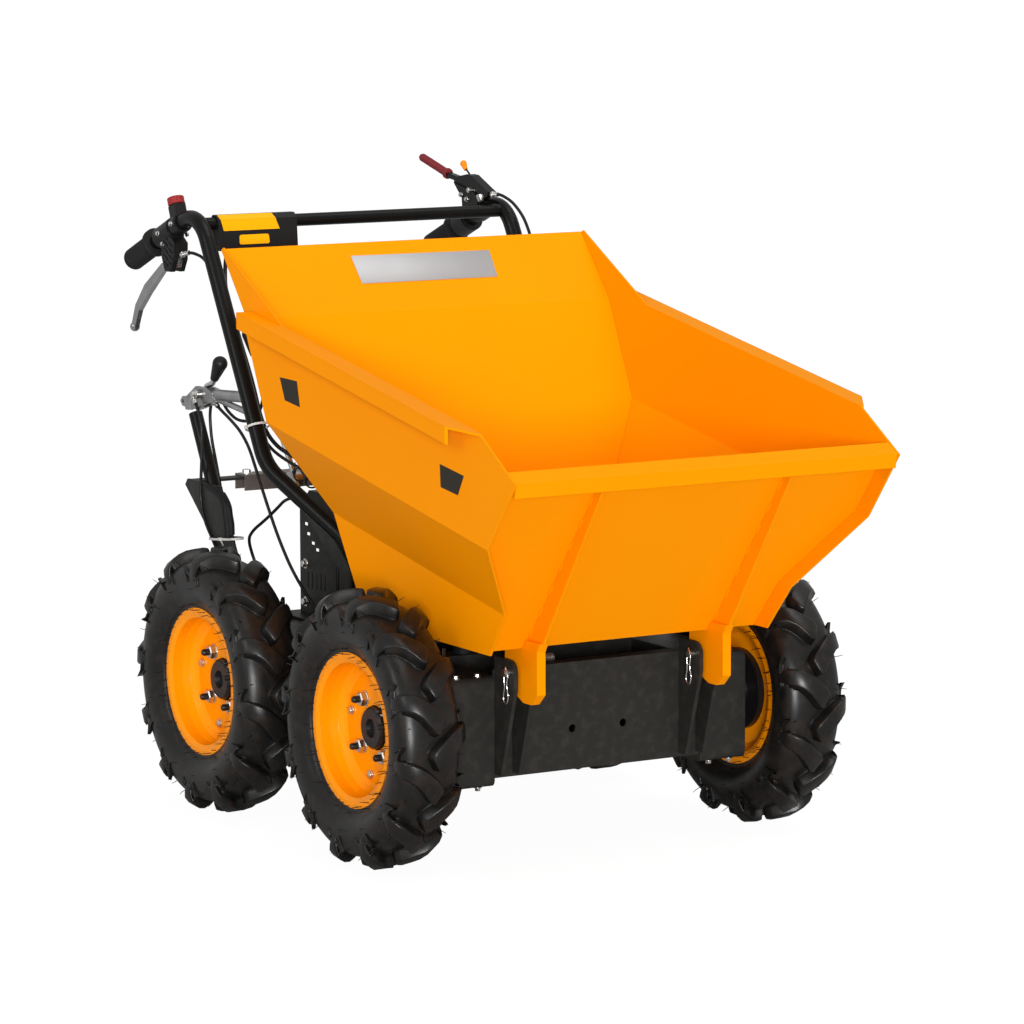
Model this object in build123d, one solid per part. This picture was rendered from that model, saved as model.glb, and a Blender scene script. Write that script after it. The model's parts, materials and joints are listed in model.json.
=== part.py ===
from build123d import *
import os
from math import atan, atan2, cos, degrees, pi, radians, sin, sqrt, tan

# Walk-behind four-wheel site dumper with a forward-tipping skip.  Millimetres.
# +Z up, the machine's front faces -Y, its left side is +X.
# The origin is on the ground, at the middle of the machine's width and length.

# ---- clearances and sheet ------------------------------------------------------------
FIT = 0.3            # gap between neighbouring solids that are bolted or slid together
SHEET = 3.0          # skip sheet
PLATE = 4.0          # chassis plate

# ---- wheels --------------------------------------------------------------------------
WHEELBASE = 481.0
TYRE_R = 205.0       # over the lugs
CARCASS_R = 187.0    # crown between the lugs
TYRE_HALF = 51.0     # half of the section width
TYRE_SIDES = 24      # flats round a tyre, two to each lug of a row
WHEEL_GAP = 17.0     # between a drive case and the lugs
BEAD_R = 101.5       # bead seat of an 8 inch rim
FLANGE_R = 114.0
RIM_HALF = 35.0
RIM_SHEET = 3.0
DISC_X = -10.0       # rim disc, from the wheel's middle plane
DISC_HOLE_R = 33.0
DISC_FLAT_R = 84.0   # where the disc's flat meets its dish
LUGS = 12            # on each shoulder
LUG_W = 21.0
LUG_PROUD = 3.0      # how far a lug stands off the sidewall
LUG_SKEW = 46.0      # how far a lug runs round the tyre, from shoulder to middle
HUB_R = 31.0
HUB_FLANGE_R = 62.0
STUB_R = 15.0

# ---- chassis -------------------------------------------------------------------------
CASE_IN = 178.0      # inner and outer faces of the side drive cases
CASE_OUT = 258.0
CASE_LOW = 119.0
CASE_HIGH = 281.0
CASE_END = 337.0     # half length
TRACK = 2 * (CASE_OUT + WHEEL_GAP + TYRE_HALF + LUG_PROUD)   # between the wheels' middle planes
TRAY_LOW = 131.0
FRONT_Y = -334.0     # front face of the front plate
FRONT_TOP = 291.0
BOLT_HOLE_R = 6.0
BOLT_SPACING = 88.0
BOLT_Z = 192.0
DECK_FRONT = -40.0

# ---- skip hinge ----------------------------------------------------------------------
PIN_Y = -374.0
PIN_Z = 293.0
PIN_R = 6.0
LUG_X = 159.0        # middle plane of the skip's lugs
LUG_T = 14.0
EAR_T = 6.0
EAR_GAP = 5.0        # between a lug and the bracket's ear
EAR_R = 18.0

# ---- skip ----------------------------------------------------------------------------
SKIP_FLOOR = 330.0
FLOOR_FRONT = -427.0
LIP_Y = -640.0       # front upper corner of the side plates
LIP_Z = 605.0
CHAMFER_Y = -548.0
FLOOR_BACK = -51.0
KINK_Y, KINK_Z = 150.0, 768.0       # where the back panel leans further back
BACK_TOP_Y, BACK_TOP_Z = 233.0, 868.0
RISE = tan(radians(9.85))           # folds and flanges rise towards the back
FOLD_HIGH, WIDE_X = 603.5, 322.5    # height at y = 0, and half width
FOLD_LOW, NARROW_X = 479.4, 245.0
RIM_HIGH = 758.0
BOTTOM_X = 228.0
BOTTOM_HIGH = 281.2
FLANGE_X = 350.0
FLANGE_DROP = 22.0
EAR_TIP_Y = 30.0                    # where the back ear starts on the flange line
FRONT_INSET = 34.0                  # front panel behind the side plates' edges
LIP_DROP = 20.0                     # depth of the front panel's folded lip
RIB_T = 5.0
RIB_TOP_INSET, RIB_LOW_INSET = 17.0, -10.0
RIB_TOP_Z = 588.0

# ---- handles -------------------------------------------------------------------------
TUBE_R = 12.5
TUBE_WALL = 2.5
GRIP_X = 275.0
GRIP_FRONT_Y = 548.0
GRIP_R = 18.0
GRIP_FLANGE_R, GRIP_FLANGE_T = 23.0, 8.0
TOP_Y, TOP_Z = 399.0, 918.0
GRIP_FALL = 0.404                   # the grips fall towards the back
GRIP_END_Y = -LIP_Y - GRIP_R * sin(atan(GRIP_FALL))   # the grips end as far back as the lip is in front
KNEE_Y, KNEE_Z = 183.0, 538.0
FOOT_X = 205.0                      # the tubes stand closer together than the grips
FOOT_Y, HEEL_Z = 35.0, 427.0        # where a tube turns down to its foot
FOOT_T = 6.0
UPRIGHT_T = 4.0
FOOT_TOP = CASE_HIGH + FOOT_T + 2 * FIT   # underside of the tube
BAR_Y, BAR_Z, BAR_R = 397.0, 895.0, 10.0

OUT = "parts"
PARTS = {}


def vec(x, y, z):
    return Vector(x, y, z)


def slab(points, low, high):
    """Plate parallel to YZ: an outline of (y, z) points between two x values."""
    wire = Wire.make_polygon([vec(low, y, z) for y, z in points], close=True)
    return Solid.extrude(Face(wire), vec(high - low, 0, 0))


def block(x0, x1, y0, y1, z0, z1):
    """Box from its six faces."""
    box = Box(abs(x1 - x0), abs(y1 - y0), abs(z1 - z0))
    return Pos((x0 + x1) / 2, (y0 + y1) / 2, (z0 + z1) / 2) * box


def rod_x(x0, x1, y, z, r):
    """Round bar along X."""
    bar = Cylinder(r, abs(x1 - x0))
    return Pos((x0 + x1) / 2, y, z) * Rot(0, 90, 0) * bar


def rod(start, end, r):
    """Round bar between two points."""
    a, b = vec(*start), vec(*end)
    plane = Plane(origin=a, z_dir=b - a)
    return extrude(plane * Circle(r), amount=(b - a).length)


def one(shape):
    """The only solid of a shape."""
    solids = shape.solids()
    if len(solids) != 1:
        raise ValueError(f"{len(solids)} solids where one is meant")
    return solids[0]


def both(shape):
    """A piece and its mirror image on the other side of the machine."""
    return [shape, mirror(shape, about=Plane.YZ)]


def spin(points, x0, side):
    """Solid of revolution about X from (x, r) points; x is counted outwards from x0."""
    wire = Wire.make_polygon([vec(side * (x0 + x), 0, r) for x, r in points], close=True)
    return revolve(Face(wire), Axis.X)


def lever_knob(start, end, narrow, wide):
    """Pear-shaped hand knob, from its narrow foot to its round top."""
    a, b = vec(*start), vec(*end)
    neck = (b - a).length - wide
    knob = Pos(0, 0, neck / 2) * Cone(narrow, wide, neck) + Pos(0, 0, neck) * Sphere(wide)
    return one(Plane(origin=a, z_dir=b - a) * knob)


def save(name, shape):
    """Keep a node as one solid or several that don't touch."""
    parts = shape if isinstance(shape, list) else [shape]
    solids = [s for p in parts for s in p.solids()]
    PARTS[name] = solids[0] if len(solids) == 1 else Compound(solids)


# ======================================================================================
# wheels
# ======================================================================================
def flat_ring(section, step):
    """One flat-sided sector of a ring: an (x, r) section drawn from -step/2 to +step/2 degrees about X."""
    wires = []
    for turn in (-step / 2, step / 2):
        a = radians(turn)
        wires.append(Wire.make_polygon([vec(x, r * sin(a), r * cos(a)) for x, r in section], close=True))
    return Solid.make_loft(wires, ruled=True)


def mirrored(half):
    """Closed section from the points of its +X half."""
    return half + [(-x, r) for x, r in reversed(half)]


def tyre():
    """Hollow tyre of flats with two staggered rows of lugs, about X through the origin."""
    wall = 8.0
    bead = RIM_HALF - RIM_SHEET - FIT
    seat = (BEAD_R + FIT) / cos(radians(180 / TYRE_SIDES))
    outer = [(bead, seat), (bead, seat + 12), (TYRE_HALF, 150), (TYRE_HALF - 11, 179), (17, CARCASS_R)]
    inner = [(-bead + wall, seat), (-TYRE_HALF + wall, 150), (-20, CARCASS_R - wall),
             (20, CARCASS_R - wall), (TYRE_HALF - wall, 150), (bead - wall, seat)]
    step = 360 / TYRE_SIDES
    sector = flat_ring(mirrored(outer) + inner, step)
    proud = TYRE_HALF + LUG_PROUD
    cover = mirrored([(proud, 150), (proud, 180), (proud - 8, 195), (20, TYRE_R)])
    core = mirrored([(TYRE_HALF - 5, 148), (TYRE_HALF - 5, 158), (TYRE_HALF - 15, 172), (12, CARCASS_R - 4)])
    half = LUG_W / 2
    foot = proud + 3
    outline = [(-5, -half), (proud - 11, LUG_SKEW - half), (foot, LUG_SKEW - half),
               (foot, LUG_SKEW + half), (proud - 17, LUG_SKEW + half), (-5, half + 3)]
    middle = degrees(LUG_SKEW / 2 / TYRE_R)
    solids = [sector.rotate(Axis.X, (i + 0.5) * step) for i in range(TYRE_SIDES)]
    for side, phase in ((1, 0.0), (-1, 0.5)):
        wire = Wire.make_polygon([vec(side * x, -s, 130) for x, s in outline], close=True)
        bar = Solid.extrude(Face(wire), vec(0, 0, 90)).rotate(Axis.X, -middle)
        room = [flat_ring(cover, step).rotate(Axis.X, turn) - flat_ring(core, step + 4).rotate(Axis.X, turn)
                for turn in (-step / 2, step / 2)]
        lug = one((bar & room[0]) + (bar & room[1]))
        solids += [lug.rotate(Axis.X, (i + phase) * 360 / LUGS + 180) for i in range(LUGS)]
    return one(solids[0].fuse(*solids[1:]))


def rim(side):
    """Two pressed halves bolted back to back, as one revolved section."""
    t, w = RIM_SHEET, RIM_HALF
    d = DISC_X
    section = [(w, FLANGE_R), (w - t, FLANGE_R), (w - t, BEAD_R), (-w + t, BEAD_R), (-w + t, FLANGE_R),
               (-w, FLANGE_R), (-w, FLANGE_R - 8), (-w + t, BEAD_R - t), (d - 20, BEAD_R - t),
               (d - 11, BEAD_R - 8), (d - t, DISC_FLAT_R), (d - t, DISC_HOLE_R), (d + t, DISC_HOLE_R),
               (d + t, DISC_FLAT_R), (d + 6, BEAD_R - 12), (d + 13, BEAD_R - 6), (d + 25, BEAD_R - t),
               (w - t, BEAD_R - t), (w, FLANGE_R - 8)]
    return one(spin(section, 0, side))


def hub(side):
    """Stub axle with its wheel flange and four studs, outwards from the drive case."""
    back = DISC_X - RIM_SHEET - FIT
    inner = CASE_IN + PLATE + 6 - TRACK / 2
    shape = spin([(inner, 0), (inner, STUB_R), (back - 30, STUB_R), (back - 30, 28), (back - 10, 30),
                  (back - 10, HUB_FLANGE_R), (back, HUB_FLANGE_R), (back, HUB_R),
                  (DISC_X + 9, HUB_R), (DISC_X + 12, HUB_R - 3), (DISC_X + 12, 14), (DISC_X + 5, 12),
                  (DISC_X + 5, 0)], 0, side)
    return one(shape)


def wheels():
    """Four wheels; each is a tyre, a rim and a hub on its own axis."""
    carcass = tyre()
    for y_name, y in (("front", -WHEELBASE / 2), ("rear", WHEELBASE / 2)):
        for x_name, side in (("left", 1), ("right", -1)):
            place = Pos(side * TRACK / 2, y, TYRE_R)
            name = f"{y_name}_{x_name}"
            save(f"tyre_{name}", place * carcass)
            save(f"rim_{name}", place * rim(side))
            save(f"hub_{name}", place * hub(side))


# ======================================================================================
# chassis
# ======================================================================================
def frame():
    """Welded tray between the two drive cases."""
    outer = CASE_IN - FIT
    front = FRONT_Y + PLATE + FIT
    tray = block(-outer, outer, front, CASE_END, TRAY_LOW, CASE_HIGH)
    tray -= block(-outer + PLATE, outer - PLATE, front - 1, CASE_END - PLATE, TRAY_LOW + PLATE, CASE_HIGH + 1)
    cross = block(-outer + PLATE, outer - PLATE, -150, -110, TRAY_LOW + PLATE, CASE_HIGH)
    cross -= block(-outer, outer, -146, -114, TRAY_LOW, CASE_HIGH - PLATE)
    return one(tray + cross)


def front_plate():
    """Folded front plate with two towing-plate holes."""
    half = CASE_IN - FIT
    plate = block(-half, half, FRONT_Y, FRONT_Y + PLATE, TRAY_LOW, FRONT_TOP)
    lip = block(-LUG_X + 18, LUG_X - 18, FRONT_Y, FRONT_Y + 26, FRONT_TOP - PLATE, FRONT_TOP)
    shape = plate + lip
    for x in (-BOLT_SPACING / 2, BOLT_SPACING / 2):
        hole = Pos(x, FRONT_Y, BOLT_Z) * Rot(90, 0, 0) * Cylinder(BOLT_HOLE_R, 4 * PLATE)
        shape -= hole
    return one(shape)


def hinge_bracket():
    """Pair of tapered ears welded to the front plate, on the left side."""
    back = FRONT_Y - FIT
    low = TRAY_LOW + 6
    front = PIN_Y - EAR_R
    with BuildPart() as ear:
        with BuildSketch(Plane.YZ):
            with BuildLine():
                Polyline((PIN_Y, PIN_Z + EAR_R), (back, PIN_Z + EAR_R), (back, low), (back - 18, low),
                         (front, PIN_Z - 24), (front, PIN_Z))
                RadiusArc((front, PIN_Z), (PIN_Y, PIN_Z + EAR_R), EAR_R)
            make_face()
            with Locations((PIN_Y, PIN_Z)):
                Circle(PIN_R + FIT, mode=Mode.SUBTRACT)
        extrude(amount=EAR_T)
    inner = LUG_X - LUG_T / 2 - EAR_GAP - EAR_T
    outer = LUG_X + LUG_T / 2 + EAR_GAP
    return [Pos(x, 0, 0) * ear.part for x in (inner, outer)]


def hinge_pins():
    """Two loose pins, both with their head towards +X."""
    inner = LUG_X - LUG_T / 2 - EAR_GAP - EAR_T
    outer = LUG_X + LUG_T / 2 + EAR_GAP + EAR_T
    pins = []
    for low, high in ((inner, outer), (-outer, -inner)):
        pin = rod_x(low - 9, high + 2, PIN_Y, PIN_Z, PIN_R)
        pin += rod_x(high + FIT, high + 5, PIN_Y, PIN_Z, PIN_R + 4)
        pins.append(one(pin))
    return pins


def drive_case():
    """Left chain case: a tray open outwards."""
    lid = CASE_OUT - PLATE
    case = block(CASE_IN, lid - FIT, -CASE_END, CASE_END, CASE_LOW, CASE_HIGH)
    case = fillet(case.edges().filter_by(Axis.X), 10)
    case -= block(CASE_IN + PLATE, lid + 1, -CASE_END + PLATE, CASE_END - PLATE,
                  CASE_LOW + PLATE, CASE_HIGH - PLATE)
    return one(case)


def case_cover():
    """Left cover plate with a bearing boss at each stub axle."""
    lid = CASE_OUT - PLATE
    cover = block(lid, CASE_OUT, -CASE_END, CASE_END, CASE_LOW, CASE_HIGH)
    cover = fillet(cover.edges().filter_by(Axis.X), 10)
    for y in (-WHEELBASE / 2, WHEELBASE / 2):
        cover += rod_x(CASE_OUT, CASE_OUT + 10, y, TYRE_R, 36)
        cover -= rod_x(lid - 1, CASE_OUT + 11, y, TYRE_R, STUB_R + FIT)
    return one(cover)


def axle_tubes():
    """Cross tubes that tie the drive cases together on the axle lines."""
    half = CASE_IN - PLATE - 2 * FIT
    tubes = []
    for y in (-WHEELBASE / 2, WHEELBASE / 2):
        tubes.append(rod_x(-half, half, y, TYRE_R, 28) - rod_x(-half - 1, half + 1, y, TYRE_R, 22))
    return tubes


def deck():
    """Engine deck over the rear of the tray."""
    plate = block(-CASE_IN + 1, CASE_IN - 1, DECK_FRONT, CASE_END, CASE_HIGH + FIT, CASE_HIGH + FIT + PLATE)
    return one(plate)


def rest_pads():
    """Rubber stops that the lowered skip lies on."""
    pads = []
    for x in (-110, 110):
        pads.append(Pos(x, -130, (CASE_HIGH + FIT + SKIP_FLOOR - FIT) / 2)
                    * Cylinder(16, SKIP_FLOOR - CASE_HIGH - 2 * FIT))
    return pads


# ======================================================================================
# engine and drive
# ======================================================================================
ENGINE_Z = CASE_HIGH + PLATE + 2 * FIT
CRANK_Y, CRANK_Z = 180.0, 395.0


def barrel(gap=0.0):
    """Slanted cylinder, or the room it needs with a gap round it."""
    return Pos(5, 110, 455) * Rot(25, 0, 0) * Box(120 + 2 * gap, 92 + 2 * gap, 120 + 2 * gap)


def engine_block():
    """Crankcase with its slanted, finned cylinder."""
    case = block(-85, 95, 95, 255, ENGINE_Z, 450)
    case = fillet(case.edges().filter_by(Axis.X), 22)
    foot = block(-85, 95, 80, 270, ENGINE_Z, ENGINE_Z + 12)
    shape = case + foot + barrel()
    for i in range(5):
        cut = Pos(5, 110, 455) * Rot(25, 0, 0) * Pos(0, 0, 10 + i * 10) * (
            Box(140, 120, 4) - Box(96, 70, 6))
        shape -= cut
    return one(shape)


def recoil_housing():
    """Fan housing with the pull starter, on the engine's left."""
    shell = rod_x(95 + FIT, 150, CRANK_Y, CRANK_Z, 98)
    shell += rod_x(149, 168, CRANK_Y, CRANK_Z, 62)
    for i in range(10):
        a = radians(i * 36)
        shell -= rod_x(158, 170, CRANK_Y + 44 * cos(a), CRANK_Z + 44 * sin(a), 7)
    return one(shell)


def fuel_tank():
    """Moulded tank over the crankcase."""
    tank = block(-85, 130, 190, 312, 500, 590)
    tank = fillet(tank.edges(), 16)
    neck = Pos(20, 250, 594) * Cylinder(26, 14)
    stem = block(-40, 60, 205, 245, 450 + FIT, 502)
    return one(tank + neck + stem)


def muffler():
    """Silencer box beside the cylinder head."""
    box = fillet(block(-80, 20, 124, 185, 508, 585).edges(), 10)
    return one(box - barrel(FIT))


def air_cleaner():
    """Air filter box on the other side of the head."""
    box = fillet(block(30, 120, 124, 185, 508, 585).edges(), 8)
    return one(box - barrel(FIT))


GUARD_X = -150.0


def belt_guard():
    """Folded sheet guard with cooling slots, on the machine's right."""
    low, high, front, back = ENGINE_Z, 482.0, 60.0, 310.0
    skin = 2.0
    outline = [(front, low), (back, low), (back, high - 34), (back - 30, high), (front + 90, high), (front, high - 90)]
    shape = slab(outline, GUARD_X, GUARD_X + 46)
    inner = [(front + skin, low - 1), (back - skin, low - 1), (back - skin, high - 35), (back - 31, high - skin),
             (front + 91, high - skin), (front + skin, high - 91)]
    shape -= slab(inner, GUARD_X + skin, GUARD_X + 50)
    shape -= block(GUARD_X + skin, GUARD_X + 50, back - skin - 1, back + 1, 378, high - 36)
    for i in range(5):
        y = 228 + i * 14
        shape -= block(GUARD_X - 1, GUARD_X + 5, y - 2, y + 2, 328, 354)
    for y, z in ((290, 428), (283, 413), (268, 400), (254, 391)):
        shape -= block(GUARD_X - 1, GUARD_X + 5, y - 6, y + 6, z - 2.5, z + 2.5)
    return one(shape)


def gearbox():
    """Transmission between the drive cases, under the engine deck."""
    half = CASE_IN - PLATE - 40
    body = block(-half, half, 20, 180, TRAY_LOW + PLATE + FIT, CASE_HIGH - 6)
    return one(fillet(body.edges().filter_by(Axis.X), 24))


# ======================================================================================
# handles
# ======================================================================================
def tube_points():
    """Centre line of the left handle tube, from the grip to the foot."""
    return [(GRIP_X, GRIP_END_Y - 5, TOP_Z - (GRIP_END_Y - 5 - TOP_Y) * GRIP_FALL),
            (GRIP_X, TOP_Y, TOP_Z),
            (GRIP_X, KNEE_Y, KNEE_Z),
            (FOOT_X, FOOT_Y, HEEL_Z),
            (FOOT_X, FOOT_Y, FOOT_TOP)]


TUBE_BENDS = [60.0, 95.0, 60.0]


def tube_path():
    return FilletPolyline(*tube_points(), radius=TUBE_BENDS)


def tube_core(r):
    """Swept round section along the left handle tube."""
    path = tube_path()
    return sweep(Plane(origin=path @ 0, z_dir=path % 0) * Circle(r), path=path)


def handle_tube():
    """Left handle tube with its foot plate on the drive case."""
    return one(tube_core(TUBE_R) - tube_core(TUBE_R - TUBE_WALL))


UPRIGHT_IN = FOOT_X + TUBE_R + FIT
UPRIGHT_OUT = UPRIGHT_IN + UPRIGHT_T


def handle_foot():
    """Foot plate of the left handle tube with the upright that stiffens the tube's outer side."""
    low = CASE_HIGH + FIT
    y = FOOT_Y
    plate = block(FOOT_X - 24, FOOT_X + 40, y - 45, y + 40, low, low + FOOT_T)
    outline = [(y + 15, low), (y + 15, 391), (195, 486), (190, 492), (74, 440), (y - 5, 407), (y - 17, 395),
               (y - 17, low)]
    upright = slab(outline, UPRIGHT_IN, UPRIGHT_OUT) - tube_core(TUBE_R + FIT)
    return one(plate + max(upright.solids(), key=lambda s: s.volume))


def crossbar():
    """Bar between the two handle bends."""
    bar = rod_x(-GRIP_X, GRIP_X, BAR_Y, BAR_Z, BAR_R)
    core = tube_core(TUBE_R + FIT)
    bar = bar - core - mirror(core, about=Plane.YZ)
    solids = sorted(bar.solids(), key=lambda s: -s.volume)
    return solids[0]


def grip():
    """Left rubber grip with a flange at its front end."""
    slope = atan2(-GRIP_FALL, 1.0)
    length = (GRIP_END_Y - GRIP_FRONT_Y) / cos(slope)
    start = vec(GRIP_X, GRIP_FRONT_Y, TOP_Z - (GRIP_FRONT_Y - TOP_Y) * GRIP_FALL)
    axis = Plane(origin=start, z_dir=vec(0, cos(slope), sin(slope)))
    body = extrude(axis * Circle(GRIP_R), amount=length)
    body += extrude(axis * Circle(GRIP_FLANGE_R), amount=GRIP_FLANGE_T)
    bore = extrude(axis.offset(-1) * Circle(TUBE_R + FIT), amount=length - 3)
    return one(body - bore)


def control_panel():
    """Rolled sheet panel that hangs from the crossbar."""
    r = BAR_R + FIT
    outer = [(BAR_Y - r - 8, BAR_Z - 42), (BAR_Y - r - 4, BAR_Z + 6), (BAR_Y - 6, BAR_Z + r + 3),
             (BAR_Y + 6, BAR_Z + r + 3), (BAR_Y + r + 4, BAR_Z + 6), (BAR_Y + r + 8, BAR_Z - 42)]
    shape = slab(outer, -250, -112)
    return one(shape - rod_x(-260, -100, BAR_Y, BAR_Z, r))


def handle_axis(y):
    """Point on the upper handle line of the left tube."""
    return vec(GRIP_X, y, TOP_Z - (y - TOP_Y) * GRIP_FALL)


def tube_seat(y):
    """Place on a handle's line, with +Y along the handle to the back and +Z square to it."""
    axis = handle_axis(y)
    return Pos(0, axis.Y, axis.Z) * Rot(-degrees(atan(GRIP_FALL)), 0, 0)


LEVER_T = 8.0


def clutch():
    """Clutch lever and the forked clamp that holds it under the right handle."""
    x = -GRIP_X
    mid = handle_axis(485)
    y, z = mid.Y, mid.Z
    fork = slab([(y - 9, z), (y - 9, z - 14), (y - 22, z - 22), (y - 21, z - 48), (y - 9, z - 68), (y + 12, z - 68), (y + 24, z - 44), (y + 21, z)],
                x - 12, x + 12)
    collar = tube_seat(505) * Pos(x, 0, 0) * Rot(90, 0, 0) * Cylinder(TUBE_R + 5, 54)
    slot = block(x - LEVER_T / 2 - FIT, x + LEVER_T / 2 + FIT, y - 30, y + 30, z - 80, z - 42)
    clamp = fork - slot + collar - mirror(tube_core(TUBE_R + FIT), about=Plane.YZ)
    save("clutch_clamp", one(clamp))
    blade = [(y - 8, z - 46), (y + 40, z - 58), (587, 787), (621, 752), (637, 716),
             (624, 714), (608, 744), (574, 773), (y + 38, z - 72), (y - 8, z - 62)]
    ball = Pos(x, 631, 716) * Sphere(8)
    save("clutch_lever", one(slab(blade, x - LEVER_T / 2, x + LEVER_T / 2) + ball))


def switch():
    """Stop switch on its collar, with the red button."""
    seat = tube_seat(465) * Pos(-GRIP_X, 0, 0)
    body = seat * Pos(0, 0, TUBE_R + 8) * Box(20, 22, 22)
    collar = seat * Rot(90, 0, 0) * Cylinder(TUBE_R + 4, 20)
    save("stop_switch", one(body + collar - mirror(tube_core(TUBE_R + FIT), about=Plane.YZ)))
    save("stop_button", seat * Pos(0, 0, TUBE_R + 19 + FIT + 6) * Cylinder(13.5, 12))


LEVER_X = 258.0
CHANNEL = 15.0       # width of the brake lever's folded channel
LEVER_SHEET = 2.0


def brake():
    """Brake lever on the left handle: bracket, folded lever, sleeve and the small throttle knob."""
    low, high = LEVER_X - CHANNEL / 2, LEVER_X + CHANNEL / 2
    seat = handle_axis(460)
    cheek = [(512, 935), (498, 922), (486, 914), (484, seat.Z), (438, seat.Z), (434, 912), (446, 922)]
    shape = tube_seat(460) * Pos(GRIP_X, 0, 0) * Rot(90, 0, 0) * Cylinder(TUBE_R + 4, 30)
    shape += block(low - FIT - 3, GRIP_X, 438, 482, seat.Z - 4, seat.Z + 11)
    for x in (low - FIT - 3, high + FIT):
        shape += slab(cheek, x, x + 3)
    save("brake_bracket", one(shape - tube_core(TUBE_R + FIT)))
    folded = [(516, 935), (516, 943), (474, 950), (461, 949), (406, 925), (409, 918), (445, 908), (478, 926)]
    inside = [(530, 920), (512, 938), (474, 946), (462, 946), (411, 923), (400, 900)]
    lever = slab(folded, low, high) - slab(inside, low + LEVER_SHEET, high - LEVER_SHEET)
    lever += slab([(508, 936), (546, 941), (546, 949), (508, 944)], LEVER_X - 5, LEVER_X + 5)
    knob_foot, knob_top = (LEVER_X, 490, 956), (LEVER_X, 501, 970)
    lever += rod((LEVER_X, 474, 947), (LEVER_X, 492, 959), 1.5)
    save("brake_lever", one(lever))
    start, end = vec(LEVER_X, 546 + FIT, 946), vec(LEVER_X, -LIP_Y - 4, 970)
    sleeve = Plane(origin=start, z_dir=end - start)
    grip = extrude(sleeve * Circle(6.5), amount=(end - start).length) + extrude(sleeve * Circle(9), amount=6)
    save("lever_sleeve", one(grip - block(LEVER_X - 20, LEVER_X + 20, 530, 546 + FIT, 920, 980)))
    knob = lever_knob(knob_foot, knob_top, 3, 5.5)
    save("throttle_lever", one(knob - rod((LEVER_X, 474, 947), (LEVER_X, 492, 959), 1.5 + FIT)))


def throttle():
    """Round throttle housing on the left handle."""
    housing = tube_seat(518) * Pos(GRIP_X, 0, 0) * Rot(90, 0, 0) * Cylinder(21, 34)
    save("throttle_housing", one(housing - tube_core(TUBE_R + FIT)))


# ======================================================================================
# rear frame and gear change
# ======================================================================================
GUSSET_X = 253.0
BAR_BACK, BAR_FRONT, BAR_TOP = 487.0, 452.0, 488.0
COLUMN_X = -240.0


def rear_gusset():
    """Left side plate that carries the rear bar, with its inward tab and its foot."""
    top = BAR_TOP - 3 - FIT
    low = CASE_HIGH + FIT
    arm = slab([(BAR_BACK, top), (BAR_BACK + 8, top - 10), (318, 331), (318, low), (262, low), (262, low + 16),
                (326, 392), (374, top)], GUSSET_X, GUSSET_X + PLATE)
    tab = block(130, GUSSET_X + PLATE, BAR_FRONT + 4, BAR_BACK - 4, top - PLATE, top)
    foot = block(214, GUSSET_X + PLATE, 250, 288, low, low + PLATE)
    return one(arm + tab + foot)


def rear_bar():
    """Downward-open channel across the back."""
    bar = block(-172, 172, BAR_FRONT, BAR_BACK, BAR_TOP - 25, BAR_TOP)
    bar -= block(-180, 180, BAR_FRONT + 3, BAR_BACK - 3, BAR_TOP - 26, BAR_TOP - 3)
    return one(bar)


def shift_column():
    """Round column from the drive case up to the gear bracket, with its foot."""
    foot = block(1 - GUSSET_X, COLUMN_X + 16, 296, CASE_END, CASE_HIGH + FIT, CASE_HIGH + FIT + 20)
    return one(rod((COLUMN_X, 330, CASE_HIGH + FIT + 14), COLUMN_TOP, 11) + foot)


COLUMN_TOP = (COLUMN_X, 489.0, 588.0)
PIVOT_Y, PIVOT_Z = 456.0, 622.0     # pivot of the gear lever


def gear_bracket():
    """Cast pivot bracket on the column, tied to the right handle tube by two arms."""
    _, top_y, top_z = COLUMN_TOP
    cap = Pos(COLUMN_X, top_y + 3, top_z + FIT + 16) * Cylinder(15, 20)
    cheek = [(top_y + 16, top_z + 8), (top_y + 12, top_z + 26), (PIVOT_Y + 10, PIVOT_Z + 12),
             (PIVOT_Y - 14, PIVOT_Z + 12), (PIVOT_Y - 44, PIVOT_Z + 8), (PIVOT_Y - 52, PIVOT_Z - 8),
             (PIVOT_Y - 20, PIVOT_Z - 14), (top_y - 14, top_z + 8)]
    shape = cap + slab(cheek, COLUMN_X - 11, COLUMN_X - 5) + slab(cheek, COLUMN_X + 5, COLUMN_X + 11)
    shape += rod_x(COLUMN_X - 17, COLUMN_X + 17, PIVOT_Y, PIVOT_Z, 7)
    shape += block(COLUMN_X - 11, COLUMN_X + 11, PIVOT_Y - 48, PIVOT_Y - 30, PIVOT_Z - 8, PIVOT_Z + 6)
    ear = slab([(top_y + 12, top_z + 8), (top_y + 12, top_z + 24), (top_y + 38, top_z + 24), (top_y + 46, top_z + 16),
                (top_y + 38, top_z + 8)], COLUMN_X - 4, COLUMN_X + 4)
    shape += ear - rod_x(COLUMN_X - 9, COLUMN_X + 9, top_y + 36, top_z + 16, 3)
    shape += rod((COLUMN_X, PIVOT_Y - 40, PIVOT_Z + 2), (-GRIP_X - 4, 234, 640), 9)
    shape += rod((COLUMN_X, PIVOT_Y - 40, PIVOT_Z - 4), (-GRIP_X - 4, 226, 616), 5)
    shape -= mirror(tube_core(TUBE_R + FIT), about=Plane.YZ)
    return max(shape.solids(), key=lambda s: s.volume)


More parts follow.
